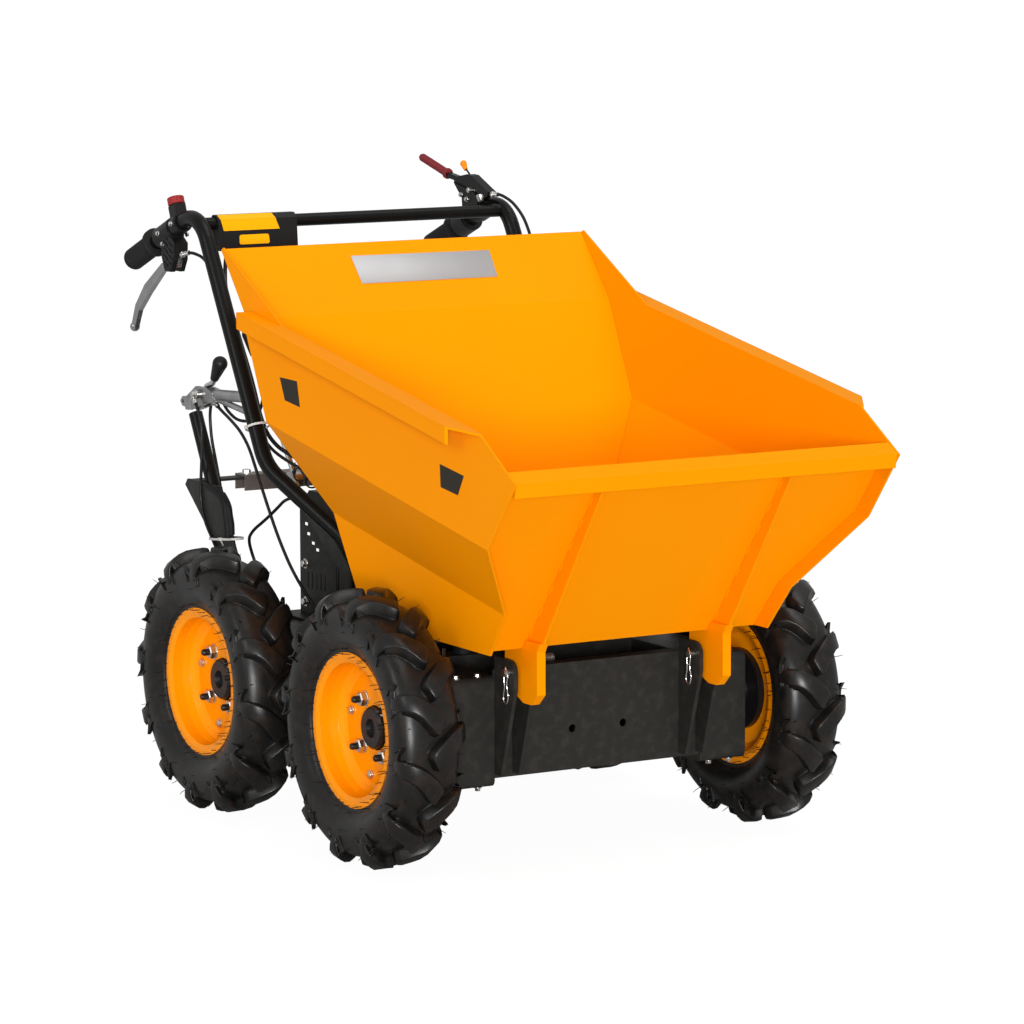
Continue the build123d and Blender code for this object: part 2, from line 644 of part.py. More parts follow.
def gear_change():
    """Cranked gear rod that stands between the bracket's cheeks, and its knob."""
    foot = vec(COLUMN_X, PIVOT_Y - 7 - FIT, PIVOT_Z + 13)
    neck, top = vec(COLUMN_X, 423, 648), vec(COLUMN_X, 395, 684)
    way = (top - neck).normalized()
    crank = neck - way * 8
    stick = rod(tuple(foot), tuple(crank), 4.5) + rod(tuple(crank), tuple(neck), 4.5)
    stick += Pos(*tuple(crank)) * Sphere(4.5)
    save("gear_lever", one(stick))
    save("gear_knob", lever_knob(tuple(neck + way * FIT), tuple(top), 6.5, 12))


TIP_LEVER_R = 4.5
TIP_PLATE_T = 5.0
TIP_X = -(UPRIGHT_IN - 2 * FIT - TIP_PLATE_T - 6)
TIP_Y, TIP_Z = 216.0, 510.0         # pivot of the tip release
TIP_WAY = (0.593, 0.805)            # the lever leans back
TIP_ROD, TIP_GRIP = 226.0, 46.0


def tip_point(distance):
    """Point on the tip release lever, from its pivot up."""
    return (TIP_X, TIP_Y + TIP_WAY[0] * distance, TIP_Z + TIP_WAY[1] * distance)


def tip_lever():
    """Release lever of the skip."""
    eye = rod_x(TIP_X - 6, TIP_X + 6, TIP_Y, TIP_Z, 12)
    return one(eye + rod(tip_point(0), tip_point(TIP_ROD), TIP_LEVER_R))


def tip_lever_grip():
    """Grip pushed over the end of the release lever."""
    return lever_knob(tip_point(TIP_ROD + FIT), tip_point(TIP_ROD + TIP_GRIP), 7, 9.5)


def tip_bracket():
    """Plate between the right upright and the release lever's eye."""
    plate = slab([(TIP_Y + 12, TIP_Z - 8), (TIP_Y + 10, TIP_Z + 11), (TIP_Y - 10, TIP_Z + 12), (176, 483),
                  (166, 468), (188, 480), (200, 489)], FIT - UPRIGHT_IN, FIT + TIP_PLATE_T - UPRIGHT_IN)
    return one(plate - mirror(tube_core(TUBE_R + FIT), about=Plane.YZ))


# ======================================================================================
# control cables
# ======================================================================================
CABLE_R = 2.5
SLEEVE_R = 3.2
LANDING = CASE_HIGH + 1.0           # where the cables enter the drive cases
PANEL_LOW = BAR_Z - 42 - FIT


def cable(points, r):
    """Cable through hand-set points: straight runs joined by arcs that take up most of each run."""
    spots = [vec(*p) for p in points]
    runs = [b - a for a, b in zip(spots, spots[1:])]
    radii = []
    for before, after in zip(runs, runs[1:]):
        turn = before.get_angle(after)
        radii.append(0.45 * min(before.length, after.length) / tan(radians(turn / 2)))
    path = FilletPolyline(*points, radius=radii)
    shape = one(sweep(Plane(origin=path @ 0, z_dir=path % 0) * Circle(r), path=path))
    print(f"cable {path.length:.0f} mm, least bend {min(radii):.0f} mm, "
          f"volume ratio {shape.volume / (path.length * pi * r * r):.3f}")
    return shape


CLUTCH_CABLE = [(-275, 461.5, 843), (-268, 444, 848), (-259, 420, 842), (-257, 396, 824), (-258, 366, 795),
                (-261, 336, 758), (-262, 302, 714), (-262, 268, 658), (-262, 238, 608), (-260, 221, 577),
                (-252, 205, 559), (-239, 185, 545), (-222, 158, 531), (-206, 132, 513), (-196, 112, 485),
                (-191, 104, 444), (-190, 103, 386), (-189, 107, 330), (-190, 108, LANDING)]
SWITCH_SLEEVE = [(-232, 391, PANEL_LOW - 0.6), (-237, 387, 828), (-249, 364, 797), (-255, 332, 765), (-256, 300, 718),
                 (-256, 263, 662), (-256, 236, 608), (-253, 219, 582), (-244, 203, 564), (-229, 183, 551),
                 (-212, 158, 538), (-196, 136, 517), (-187, 124, 482), (-184, 121, 436), (-184, 123, 384),
                 (-184, 127, 332), (-185, 127, LANDING)]
GEAR_CABLES = [
    [(-240, 421, 611), (-240.5, 401, 602), (-243, 364, 591), (-247, 322, 577), (-249, 289, 555), (-248, 264, 516),
     (-244, 240, 470), (-239, 215, 423), (-232, 188, 379), (-225, 158, 345), (-217, 131, 318), (-214, 120, LANDING)],
    [(-260, 456, 616), (-260, 443, 603), (-259.8, 430, 578), (-259.9, 428, 540), (-260, 433, 497), (-260, 436, 456),
     (-260, 422, 425), (-260, 393, 396), (-259.8, 362, 365), (-258, 342, 328), (-255.3, 335, LANDING)],
    [(-226, 458, 613.8), (-226, 467, 590), (-226, 463, 552), (-225, 449, 513), (-225, 430, 463), (-225, 407, 412),
     (-223, 382, 366), (-215, 350, 325), (-211, 327, LANDING)]]
LOOP_CABLE = [(-200, 322, LANDING), (-203, 332, 330), (-211, 352, 371), (-221, 350, 402), (-226, 322, 420),
              (-225, 286, 439), (-223, 250, 461), (-224, 220, 479), (-224.6, 190, 486)]
TIP_CABLE = [(-226, 428, 618), (-226, 408, 600), (-225, 376, 587), (-221, 342, 588), (-215, 318, 604),
             (-213, 308, 630), (-213.5, 314, 656)]
BRAKE_CABLE = [(258, 404, 921), (262, 388, 922), (272, 368, 912), (283, 352, 890), (288, 338, 862), (287, 322, 828),
               (284, 298, 780), (279, 272, 738), (276, 250, 694), (274, 224, 648), (272, 200, 602), (267, 180, 568),
               (255, 158, 546), (238, 134, 528), (220, 116, 508), (204, 108, 482), (195, 104, 440), (191, 105, 388),
               (190, 108, 333), (190, 107, LANDING)]


def cables():
    """Thin control cables, each held by what it runs along."""
    routes = [CLUTCH_CABLE, *GEAR_CABLES, LOOP_CABLE, TIP_CABLE, BRAKE_CABLE]
    save("cables", [cable(points, CABLE_R) for points in routes])
    save("cable_sleeves", cable(SWITCH_SLEEVE, SLEEVE_R))


# ======================================================================================
# skip
# ======================================================================================
def offset_line(points, d):
    """Mitred copy of an open line, d to the left of its direction."""
    out = []
    for i, (u, v) in enumerate(points):
        dirs = []
        for j, k in ((i - 1, i), (i, i + 1)):
            if j >= 0 and k < len(points):
                du, dv = points[k][0] - points[j][0], points[k][1] - points[j][1]
                n = sqrt(du * du + dv * dv)
                dirs.append((-dv / n, du / n))
        nu = sum(a for a, _ in dirs) / len(dirs)
        nv = sum(b for _, b in dirs) / len(dirs)
        scale = d / (nu * nu + nv * nv)
        out.append((u + nu * scale, v + nv * scale))
    return out


def sheet_outline(points, t):
    """Closed outline of a folded sheet: a line and its copy t to the left."""
    return points + list(reversed(offset_line(points, t)))


def rim_z(y):
    """Height of the skip's upper fold at a place along the machine."""
    return RIM_HIGH + RISE * y


def front_y(z):
    """Front edge of the side plates at a height."""
    return FLOOR_FRONT + (z - SKIP_FLOOR) * (LIP_Y - FLOOR_FRONT) / (LIP_Z - SKIP_FLOOR)


def back_y(z):
    """Outer face of the back panel at a height."""
    if z <= KINK_Z:
        return FLOOR_BACK + (z - SKIP_FLOOR) * (KINK_Y - FLOOR_BACK) / (KINK_Z - SKIP_FLOOR)
    return KINK_Y + (z - KINK_Z) * (BACK_TOP_Y - KINK_Y) / (BACK_TOP_Z - KINK_Z)


SIDE_LINE = [(BOTTOM_X, BOTTOM_HIGH), (NARROW_X, FOLD_LOW), (WIDE_X, FOLD_HIGH), (WIDE_X, RIM_HIGH),
             (FLANGE_X, RIM_HIGH), (FLANGE_X, RIM_HIGH - FLANGE_DROP)]
RUN = (-720.0, 300.0)


def along_fold(outline):
    """Prism of an (x, z at y = 0) outline along the folds' direction."""
    y0, y1 = RUN
    wire = Wire.make_polygon([vec(x, y0, z + RISE * y0) for x, z in outline], close=True)
    return Solid.extrude(Face(wire), vec(0, y1 - y0, RISE * (y1 - y0)))


def inner_space(gap):
    """Room between the side plates, gap inside their inner faces, open upwards."""
    line = offset_line(SIDE_LINE[:3] + [(WIDE_X, 1150.0)], SHEET + gap)
    return along_fold(line + [(-x, z) for x, z in reversed(line)])


def side_plate():
    """Left side: three folded bands with an outward flange, and the high back ear."""
    folded = along_fold(sheet_outline(SIDE_LINE, SHEET))
    top = 14.0
    outline = [(FLOOR_FRONT, SKIP_FLOOR), (LIP_Y, LIP_Z), (CHAMFER_Y, rim_z(CHAMFER_Y)),
               (CHAMFER_Y + top, rim_z(CHAMFER_Y) + top), (back_y(rim_z(130)) - 8, rim_z(130) + 2 * top),
               (back_y(rim_z(130)), rim_z(130) - 20), (FLOOR_BACK, SKIP_FLOOR)]
    folded = folded & slab(outline, 100, 500)
    # the flange ends at a slant in front, and square at the back
    slant = Wire.make_polygon([vec(WIDE_X + 0.1, CHAMFER_Y - 200, 400), vec(WIDE_X + 0.1, CHAMFER_Y, 400),
                               vec(FLANGE_X + 10, CHAMFER_Y + 60, 400), vec(FLANGE_X + 10, CHAMFER_Y - 200, 400)],
                              close=True)
    folded -= Solid.extrude(Face(slant), vec(0, 0, 600))
    tail = block(WIDE_X + 0.1, FLANGE_X + 10, 127, 400, 500, 900)
    folded -= tail
    ear_line = [(EAR_TIP_Y, rim_z(EAR_TIP_Y) - 30), (EAR_TIP_Y, rim_z(EAR_TIP_Y)), (BACK_TOP_Y - 6, BACK_TOP_Z + 4),
                (BACK_TOP_Y, BACK_TOP_Z), (KINK_Y, KINK_Z), (back_y(700), 700), (EAR_TIP_Y, 700)]
    ear = slab(ear_line, WIDE_X - SHEET, WIDE_X)
    return one(folded + ear)


def back_panel():
    """Back wall, folded where it leans further back."""
    line = [(FLOOR_BACK, SKIP_FLOOR), (KINK_Y, KINK_Z), (BACK_TOP_Y, BACK_TOP_Z)]
    wall = slab(sheet_outline(line, SHEET), -400, 400)
    return one(wall & inner_space(FIT))


def front_panel():
    """Front wall with its folded lip."""
    t = SHEET
    foot_y = front_y(SKIP_FLOOR) + FRONT_INSET + t / 0.79
    apex_z = LIP_Z + 15.5
    apex_y = front_y(apex_z) + FRONT_INSET + t / 0.79
    fall = (foot_y - apex_y) / (apex_z - SKIP_FLOOR)
    line = [(foot_y + 10 * fall, SKIP_FLOOR - 10), (apex_y, apex_z), (LIP_Y + 2, LIP_Z + 1.5),
            (LIP_Y + 7, LIP_Z - LIP_DROP)]
    wall = slab(sheet_outline(line, t), -400, 400) - block(-400, 400, foot_y - 60, foot_y + 60,
                                                           SKIP_FLOOR - 40, SKIP_FLOOR)
    return one(wall & inner_space(FIT))


def floor_panel():
    """Floor between the front and back walls."""
    t = SHEET
    low = front_y(SKIP_FLOOR) + FRONT_INSET + t / 0.79 + FIT
    high = front_y(SKIP_FLOOR + t) + FRONT_INSET + t / 0.79 + FIT
    line = [(low, SKIP_FLOOR), (back_y(SKIP_FLOOR) - t / 0.9 - FIT, SKIP_FLOOR),
            (back_y(SKIP_FLOOR + t) - t / 0.9 - FIT, SKIP_FLOOR + t), (high, SKIP_FLOOR + t)]
    return one(slab(line, -400, 400) & inner_space(FIT))


def rib():
    """Left front rib with its thick hinge lug."""
    gap = FIT / 0.79
    face = front_y(SKIP_FLOOR) + FRONT_INSET - gap
    face_top = front_y(RIB_TOP_Z) + FRONT_INSET - gap
    blade = [(face, SKIP_FLOOR), (face_top, RIB_TOP_Z), (front_y(RIB_TOP_Z) + RIB_TOP_INSET, RIB_TOP_Z),
             (front_y(SKIP_FLOOR) + RIB_LOW_INSET, SKIP_FLOOR)]
    plate = slab(blade, LUG_X - RIB_T / 2, LUG_X + RIB_T / 2)
    nose = front_y(SKIP_FLOOR) + RIB_LOW_INSET
    under = SKIP_FLOOR - FIT
    lug_line = [(nose, SKIP_FLOOR), (nose - 9, SKIP_FLOOR + 14), (face - 11, SKIP_FLOOR + 14), (face, SKIP_FLOOR),
                (face, under), (PIN_Y + 28, under), (PIN_Y + 28, PIN_Z - 12), (PIN_Y + 12, PIN_Z - 23),
                (PIN_Y + 2, PIN_Z - 31), (PIN_Y - 24, PIN_Z - 42), (PIN_Y - 46, PIN_Z - 42), (nose, PIN_Z - 26)]
    lug = slab(lug_line, LUG_X - LUG_T / 2, LUG_X + LUG_T / 2)
    lug -= rod_x(0, 300, PIN_Y, PIN_Z, PIN_R + FIT)
    return one(plate + lug)


def skip():
    """Tipping skip: sheet panels that meet along their folds."""
    side = side_plate()
    save("side_plate_left", side)
    save("side_plate_right", mirror(side, about=Plane.YZ))
    save("back_panel", back_panel())
    save("front_panel", front_panel())
    save("floor_panel", floor_panel())
    save("front_ribs", both(rib()))


def main():
    os.makedirs(OUT, exist_ok=True)
    wheels()
    save("frame", frame())
    save("front_plate", front_plate())
    ears = hinge_bracket()
    save("hinge_brackets", ears + [mirror(ear, about=Plane.YZ) for ear in ears])
    save("hinge_pins", hinge_pins())
    save("drive_cases", both(drive_case()))
    save("case_covers", both(case_cover()))
    save("axle_tubes", axle_tubes())
    save("engine_deck", deck())
    save("rest_pads", rest_pads())
    save("engine_block", engine_block())
    save("recoil_housing", recoil_housing())
    save("fuel_tank", fuel_tank())
    save("muffler", muffler())
    save("air_cleaner", air_cleaner())
    save("belt_guard", belt_guard())
    save("gearbox", gearbox())
    save("handle_tubes", both(handle_tube()))
    save("handle_feet", both(handle_foot()))
    save("crossbar", crossbar())
    save("grips", both(grip()))
    save("control_panel", control_panel())
    clutch()
    switch()
    brake()
    throttle()
    save("rear_gussets", both(rear_gusset()))
    save("rear_bar", rear_bar())
    save("shift_column", shift_column())
    save("gear_bracket", gear_bracket())
    gear_change()
    save("tip_lever", tip_lever())
    save("tip_lever_grip", tip_lever_grip())
    save("tip_bracket", tip_bracket())
    cables()
    skip()
    for name, shape in PARTS.items():
        export_step(shape, os.path.join(OUT, name + ".step"))


main()
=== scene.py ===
"""Finishes, fittings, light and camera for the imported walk-behind dumper.

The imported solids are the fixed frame, in metres: +Z up, the front faces -Y and the
machine's left side is +X.  Each class dresses one sub-assembly of the machine.
"""

from __future__ import annotations

import json
import logging
import math
import random
from dataclasses import dataclass, field
from enum import Enum
from typing import Iterable, Sequence

import bmesh
import bpy
from mathutils import Matrix, Vector

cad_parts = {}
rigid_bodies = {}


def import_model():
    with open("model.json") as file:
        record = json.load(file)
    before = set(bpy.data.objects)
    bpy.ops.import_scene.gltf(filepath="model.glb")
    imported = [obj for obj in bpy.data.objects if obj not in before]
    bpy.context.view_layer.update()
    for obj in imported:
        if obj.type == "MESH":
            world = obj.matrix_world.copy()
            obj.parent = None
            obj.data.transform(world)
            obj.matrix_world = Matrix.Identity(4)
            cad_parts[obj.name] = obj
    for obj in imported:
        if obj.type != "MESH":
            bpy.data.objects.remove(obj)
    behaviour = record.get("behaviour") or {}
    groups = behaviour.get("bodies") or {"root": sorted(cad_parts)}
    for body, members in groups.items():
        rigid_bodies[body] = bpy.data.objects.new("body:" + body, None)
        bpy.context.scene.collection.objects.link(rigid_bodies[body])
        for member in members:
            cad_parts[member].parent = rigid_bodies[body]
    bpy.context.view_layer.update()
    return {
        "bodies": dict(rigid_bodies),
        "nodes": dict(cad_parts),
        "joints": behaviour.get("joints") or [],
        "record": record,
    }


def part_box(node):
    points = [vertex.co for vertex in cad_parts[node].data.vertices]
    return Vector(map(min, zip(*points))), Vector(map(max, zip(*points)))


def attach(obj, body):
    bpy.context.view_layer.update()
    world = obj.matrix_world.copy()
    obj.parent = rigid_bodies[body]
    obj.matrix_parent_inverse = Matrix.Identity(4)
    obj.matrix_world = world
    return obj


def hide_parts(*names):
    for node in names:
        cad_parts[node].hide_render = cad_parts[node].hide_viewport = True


LOG = logging.getLogger("dumper")
Point = tuple[float, float, float]
Colour = tuple[float, float, float]
Profile = Sequence[tuple[float, float]]  # (height, radius) of rings, or two coordinates of flat points
Spot = tuple[Sequence[float], Sequence[float]]  # a place and the direction it faces

ORIGIN: Point = (0.0, 0.0, 0.0)
UP: Point = (0.0, 0.0, 1.0)
SIDES = (1.0, -1.0)  # the machine's left and its right


# ======================================================================================
# finishes
# ======================================================================================
MOTTLE_DETAIL = 3.0
DUST_NOISE = (60.0, 8.0)  # features per metre and octaves
DUST_LEVELS = (0.48, 0.72)  # of the noise, where dust starts and where it is full
GLOSS_NOISE = (24.0, 5.0)


class Grain(Enum):
    """Kinds of fine surface relief, as (noise scale per metre, detail, distance in metres)."""

    NONE = (1.0, 0.0, 0.0)
    ORANGE_PEEL = (420.0, 2.0, 0.00006)
    MOULDED = (900.0, 4.0, 0.00012)
    RUBBER = (700.0, 6.0, 0.00020)
    CAST = (260.0, 8.0, 0.00035)
    BRUSHED = (1500.0, 2.0, 0.00003)


@dataclass(frozen=True)
class Finish:
    """One surface finish: colour, gloss, fine relief and the wear that goes with it."""

    name: str
    colour: Colour
    roughness: float = 0.5
    metallic: float = 0.0
    grain: Grain = Grain.NONE
    grain_strength: float = 1.0
    mottle: float = 0.06
    mottle_scale: float = 9.0
    rough_change: float = 0.08
    edge: float = 0.0
    dust: float = 0.0
    dust_colour: Colour = (0.30, 0.25, 0.20)
    specular: float = 0.5

    def material(self) -> bpy.types.Material:
        """Builds the node material once and returns it.

        Returns:
            The material of this finish.
        """
        found = bpy.data.materials.get(self.name)
        if found:
            return found
        mat = bpy.data.materials.new(self.name)
        mat.use_nodes = True
        tree = mat.node_tree
        shader = tree.nodes["Principled BSDF"]
        shader.inputs["Metallic"].default_value = self.metallic
        shader.inputs["Specular IOR Level"].default_value = self.specular
        coords = tree.nodes.new("ShaderNodeTexCoord")
        for wire_up in (self._colour, self._roughness, self._relief):
            wire_up(tree, shader, coords)
        return mat

    def _noise(self, tree: bpy.types.NodeTree, coords: bpy.types.Node, scale: float,
               detail: float) -> bpy.types.Node:
        """Adds a noise texture on object coordinates.

        Args:
            tree: The material's node tree.
            coords: The texture coordinate node.
            scale: Features per metre.
            detail: Octaves of the noise.

        Returns:
            The noise node.
        """
        noise = tree.nodes.new("ShaderNodeTexNoise")
        noise.inputs["Scale"].default_value = scale
        noise.inputs["Detail"].default_value = detail
        tree.links.new(coords.outputs["Object"], noise.inputs["Vector"])
        return noise

    def _colour(self, tree: bpy.types.NodeTree, shader: bpy.types.Node, coords: bpy.types.Node) -> None:
        """Wires a gently mottled base colour, with specks of dust over it.

        Args:
            tree: The material's node tree.
            shader: The shader node.
            coords: The texture coordinate node.
        """
        noise = self._noise(tree, coords, self.mottle_scale, MOTTLE_DETAIL)
        mix = tree.nodes.new("ShaderNodeMix")
        mix.data_type = "RGBA"
        low = [c * (1.0 - self.mottle) for c in self.colour]
        high = [min(1.0, c * (1.0 + self.mottle)) for c in self.colour]
        mix.inputs["A"].default_value = (*low, 1.0)
        mix.inputs["B"].default_value = (*high, 1.0)
        tree.links.new(noise.outputs["Fac"], mix.inputs["Factor"])
        last = mix.outputs["Result"]
        if self.dust > 0.0:
            speck = self._noise(tree, coords, *DUST_NOISE)
            ramp = tree.nodes.new("ShaderNodeValToRGB")
            clean, dusted = ramp.color_ramp.elements
            clean.position, dusted.position = DUST_LEVELS
            dusted.color = (self.dust, self.dust, self.dust, 1.0)
            tree.links.new(speck.outputs["Fac"], ramp.inputs["Fac"])
            dusty = tree.nodes.new("ShaderNodeMix")
            dusty.data_type = "RGBA"
            dusty.inputs["B"].default_value = (*self.dust_colour, 1.0)
            tree.links.new(last, dusty.inputs["A"])
            tree.links.new(ramp.outputs["Color"], dusty.inputs["Factor"])
            last = dusty.outputs["Result"]
        tree.links.new(last, shader.inputs["Base Color"])

    def _roughness(self, tree: bpy.types.NodeTree, shader: bpy.types.Node, coords: bpy.types.Node) -> None:
        """Wires a roughness that changes a little over the surface.

        Args:
            tree: The material's node tree.
            shader: The shader node.
            coords: The texture coordinate node.
        """
        noise = self._noise(tree, coords, *GLOSS_NOISE)
        span = tree.nodes.new("ShaderNodeMapRange")
        span.inputs["To Min"].default_value = max(0.03, self.roughness - self.rough_change)
        span.inputs["To Max"].default_value = min(1.0, self.roughness + self.rough_change)
        tree.links.new(noise.outputs["Fac"], span.inputs["Value"])
        tree.links.new(span.outputs["Result"], shader.inputs["Roughness"])

    def _relief(self, tree: bpy.types.NodeTree, shader: bpy.types.Node, coords: bpy.types.Node) -> None:
        """Wires the fine bump, over softened edges where the finish has them.

        Args:
            tree: The material's node tree.
            shader: The shader node.
            coords: The texture coordinate node.
        """
        rounded = None
        if self.edge > 0.0:
            rounded = tree.nodes.new("ShaderNodeBevel")
            rounded.samples = 4
            rounded.inputs["Radius"].default_value = self.edge
            tree.links.new(rounded.outputs["Normal"], shader.inputs["Normal"])
        if self.grain is not Grain.NONE:
            scale, detail, distance = self.grain.value
            noise = self._noise(tree, coords, scale, detail)
            bump = tree.nodes.new("ShaderNodeBump")
            bump.inputs["Strength"].default_value = self.grain_strength
            bump.inputs["Distance"].default_value = distance
            tree.links.new(noise.outputs["Fac"], bump.inputs["Height"])
            if rounded:
                tree.links.new(rounded.outputs["Normal"], bump.inputs["Normal"])
            tree.links.new(bump.outputs["Normal"], shader.inputs["Normal"])


class Shop(Enum):
    """The machine's finishes, named for what they go on."""

    SKIP_ORANGE = Finish("skip_orange", (1.0, 0.310, 0.0), 0.46, grain=Grain.ORANGE_PEEL, mottle=0.025,
                         rough_change=0.05, edge=0.0016, specular=0.03)
    RIM_ORANGE = Finish("rim_orange", (1.0, 0.300, 0.0), 0.26, grain=Grain.ORANGE_PEEL, mottle=0.03,
                        edge=0.0012, specular=0.18)
    FRAME_BLACK = Finish("frame_black", (0.0215, 0.0215, 0.0195), 0.48, grain=Grain.ORANGE_PEEL,
                         grain_strength=1.6, mottle=0.12, edge=0.0010, dust=0.05, specular=0.16)
    TUBE_BLACK = Finish("tube_black", (0.004, 0.004, 0.0036), 0.30, grain=Grain.ORANGE_PEEL, mottle=0.10,
                        edge=0.0008, specular=0.18)
    TYRE = Finish("lug_rubber", (0.0060, 0.0056, 0.0052), 0.34, grain=Grain.RUBBER, mottle=0.25,
                  grain_strength=0.50, mottle_scale=14.0, rough_change=0.14, edge=0.0012, dust=0.22,
                  dust_colour=(0.060, 0.036, 0.022), specular=0.36)
    HUB = Finish("hub_casting", (0.008, 0.008, 0.008), 0.36, grain=Grain.CAST, mottle=0.2, edge=0.0006,
                 specular=0.35)
    SOFT_RUBBER = Finish("grip_rubber", (0.008, 0.008, 0.008), 0.60, grain=Grain.RUBBER, mottle=0.15,
                         specular=0.18)
    CABLE = Finish("cable_sleeve", (0.004, 0.004, 0.004), 0.40, grain=Grain.MOULDED, mottle=0.10,
                   specular=0.30)
    BLACK_PLASTIC = Finish("moulded_black", (0.009, 0.009, 0.009), 0.42, grain=Grain.MOULDED, mottle=0.10,
                           edge=0.0006, specular=0.22)
    RED_PLASTIC = Finish("moulded_red", (0.300, 0.020, 0.022), 0.42, grain=Grain.MOULDED, mottle=0.10,
                         edge=0.0006, specular=0.25)
    SLEEVE_RED = Finish("sleeve_red", (0.180, 0.018, 0.022), 0.55, grain=Grain.MOULDED, mottle=0.15,
                        edge=0.0004, specular=0.20)
    ORANGE_PLASTIC = Finish("moulded_orange", (0.95, 0.250, 0.0), 0.40, grain=Grain.MOULDED, mottle=0.05,
                            edge=0.0006, specular=0.20)
    ZINC = Finish("zinc_plate", (0.62, 0.61, 0.58), 0.30, metallic=1.0, grain=Grain.BRUSHED, mottle=0.18,
                  mottle_scale=60.0, rough_change=0.12, edge=0.0004)
    DULL_STEEL = Finish("dull_steel", (0.200, 0.170, 0.150), 0.48, metallic=0.7, grain=Grain.BRUSHED,
                        mottle=0.22, mottle_scale=40.0, rough_change=0.12, edge=0.0005)
    CHROME = Finish("polished_steel", (0.72, 0.72, 0.73), 0.16, metallic=1.0, mottle=0.06, edge=0.0005)
    LEVER_ALLOY = Finish("lever_alloy", (0.42, 0.42, 0.43), 0.22, metallic=1.0, grain=Grain.BRUSHED,
                         mottle=0.25, mottle_scale=40.0, edge=0.0006)
    ALLOY = Finish("alloy_casting", (0.38, 0.38, 0.38), 0.30, metallic=1.0, grain=Grain.CAST, mottle=0.35,
                   mottle_scale=40.0, edge=0.0006)
    SIGN_YELLOW = Finish("sign_yellow", (1.0, 0.430, 0.0), 0.40, mottle=0.03, edge=0.0003, specular=0.15)
    SIGN_GREY = Finish("sign_grey", (0.40, 0.40, 0.40), 0.38, metallic=0.35, mottle=0.06, edge=0.0003)
    STRIPE = Finish("stripe_black", (0.024, 0.020, 0.014), 0.45, mottle=0.05, specular=0.15)
    TIE = Finish("tie_white", (0.62, 0.61, 0.58), 0.45, mottle=0.05)
    FLOOR = Finish("studio_floor", (0.55, 0.55, 0.55), 0.85, mottle=0.0)

    @property
    def material(self) -> bpy.types.Material:
        """The node material of this finish."""
        return self.value.material()


